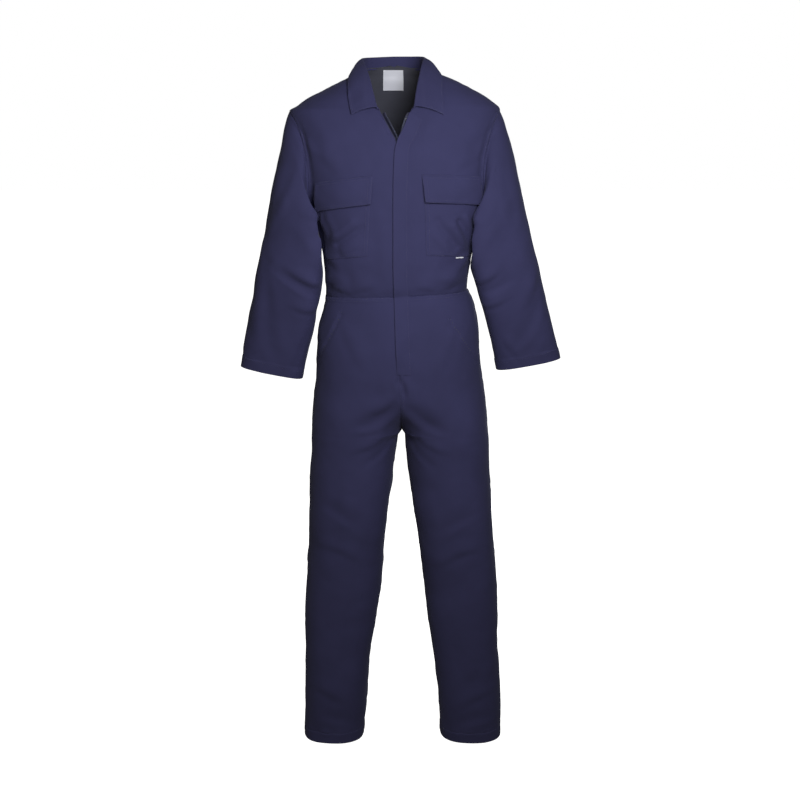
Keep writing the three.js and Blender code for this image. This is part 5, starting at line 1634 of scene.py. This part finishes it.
def sewing_thread(name, colour):
    """Core-spun polyester thread, dyed to match: a tight twist with a slight gloss."""
    material, tree = new_material(name)
    place = add(tree, "ShaderNodeTexCoord").outputs["Object"]
    # The twist is about 0.7 mm long, as in the real thread
    twist = add(tree, "ShaderNodeTexNoise", {"Scale": 1500, "Detail": 1}, {"Vector": place})
    strand = add(tree, "ShaderNodeBump", {"Strength": 0.3, "Distance": 0.0001},
                 {"Height": twist.outputs[0]})
    shader = add(tree, "ShaderNodeBsdfPrincipled",
                 {"Base Color": linear(colour), "Roughness": 0.55, "IOR": 1.5, "Sheen Weight": 0.2},
                 {"Normal": strand.outputs[0]})
    add(tree, "ShaderNodeOutputMaterial", {}, {"Surface": shader.outputs[0]})
    return material


thread = sewing_thread("thread_navy", "#323256")
piece = parts_piece("topstitching", sewn, thread, smooth=True)
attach(piece, "root")

# Camera, floor and light
# A plain pale floor, a soft key light from the upper right of the photograph, a weaker warm fill from low
# on the left, and a light behind the suit that only the other views need.
CAMERA_PLACE = (0.0148, -3.0, -0.150)
CAMERA_LOOKS_DOWN = 11.22
SENSOR_WIDTH, LENS = 36, 57.6
# Name, place, aim, colour, power in watts and size in metres
LIGHTS = (
    ("key_light", (0.27, -1.22, 0.06), (0.02, 0, -0.27), (1, 1, 1), 15.5, 0.5),
    ("fill_light", (-0.5, -2.2, -0.8), (0, 0, -0.85), (1, 0.95, 0.75), 6.6, 1.2),
    ("back_light", (0.4, 2.4, -0.5), (0, 0, -0.7), (1, 1, 1), 14, 1.5),
)
AIR_GLOW = 0.12
AIR_TINT = (1, 0.97, 0.78, 1)
WHITE = (1, 1, 1, 1)
FLOOR_Z = -1.62
FLOOR_REACH = 40
FLOOR_GLOW = 1.1

bpy.context.scene.view_settings.view_transform = "Standard"
camera = bpy.data.objects.new("camera", bpy.data.cameras.new("camera"))
camera.location = CAMERA_PLACE
camera.rotation_euler = (math.radians(90 - CAMERA_LOOKS_DOWN), 0, 0)
camera.data.sensor_width = SENSOR_WIDTH
camera.data.sensor_fit = "HORIZONTAL"
camera.data.lens = LENS
bpy.context.scene.collection.objects.link(camera)
bpy.context.scene.camera = camera

for name, place, aim, colour, power, size in LIGHTS:
    lamp = bpy.data.objects.new(name, bpy.data.lights.new(name, "AREA"))
    lamp.data.energy = power
    lamp.data.color = colour
    lamp.data.size = size
    lamp.location = place
    direction = mathutils.Vector(aim) - mathutils.Vector(place)
    lamp.rotation_euler = direction.to_track_quat("-Z", "Y").to_euler()
    bpy.context.scene.collection.objects.link(lamp)

# The air is white to the camera, and lights the suit only faintly
world = bpy.data.worlds.new("studio_air")
bpy.context.scene.world = world
world.use_nodes = True
air = world.node_tree
seen = add(air, "ShaderNodeLightPath").outputs["Is Camera Ray"]
glow = add(air, "ShaderNodeMapRange", {TO_LOW: AIR_GLOW, TO_HIGH: 1.0}, {0: seen})
tint = add(air, "ShaderNodeMix", {"data_type": "RGBA", FIRST_COLOUR: AIR_TINT, SECOND_COLOUR: WHITE},
           {0: seen})
air.links.new(glow.outputs[0], air.nodes["Background"].inputs["Strength"])
air.links.new(tint.outputs[MIXED_COLOUR], air.nodes["Background"].inputs["Color"])

corners = [(x * FLOOR_REACH, y * FLOOR_REACH, FLOOR_Z) for x, y in ((-1, -1), (1, -1), (1, 1), (-1, 1))]
floor_mesh = bpy.data.meshes.new("floor")
floor_mesh.from_pydata(corners, [], [(0, 1, 2, 3)])
# Paper, matt and near white. It glows a little, so that it is as white as the photograph's ground
paper, tree = new_material("studio_paper")
shader = add(tree, "ShaderNodeBsdfPrincipled",
             {"Base Color": linear("#f4f4f4"), "Roughness": 0.9, "Emission Color": WHITE,
              "Emission Strength": FLOOR_GLOW})
add(tree, "ShaderNodeOutputMaterial", {}, {"Surface": shader.outputs[0]})
floor_mesh.materials.append(paper)
floor = bpy.data.objects.new("floor", floor_mesh)
floor.visible_diffuse = False
floor.visible_glossy = False
bpy.context.scene.collection.objects.link(floor)
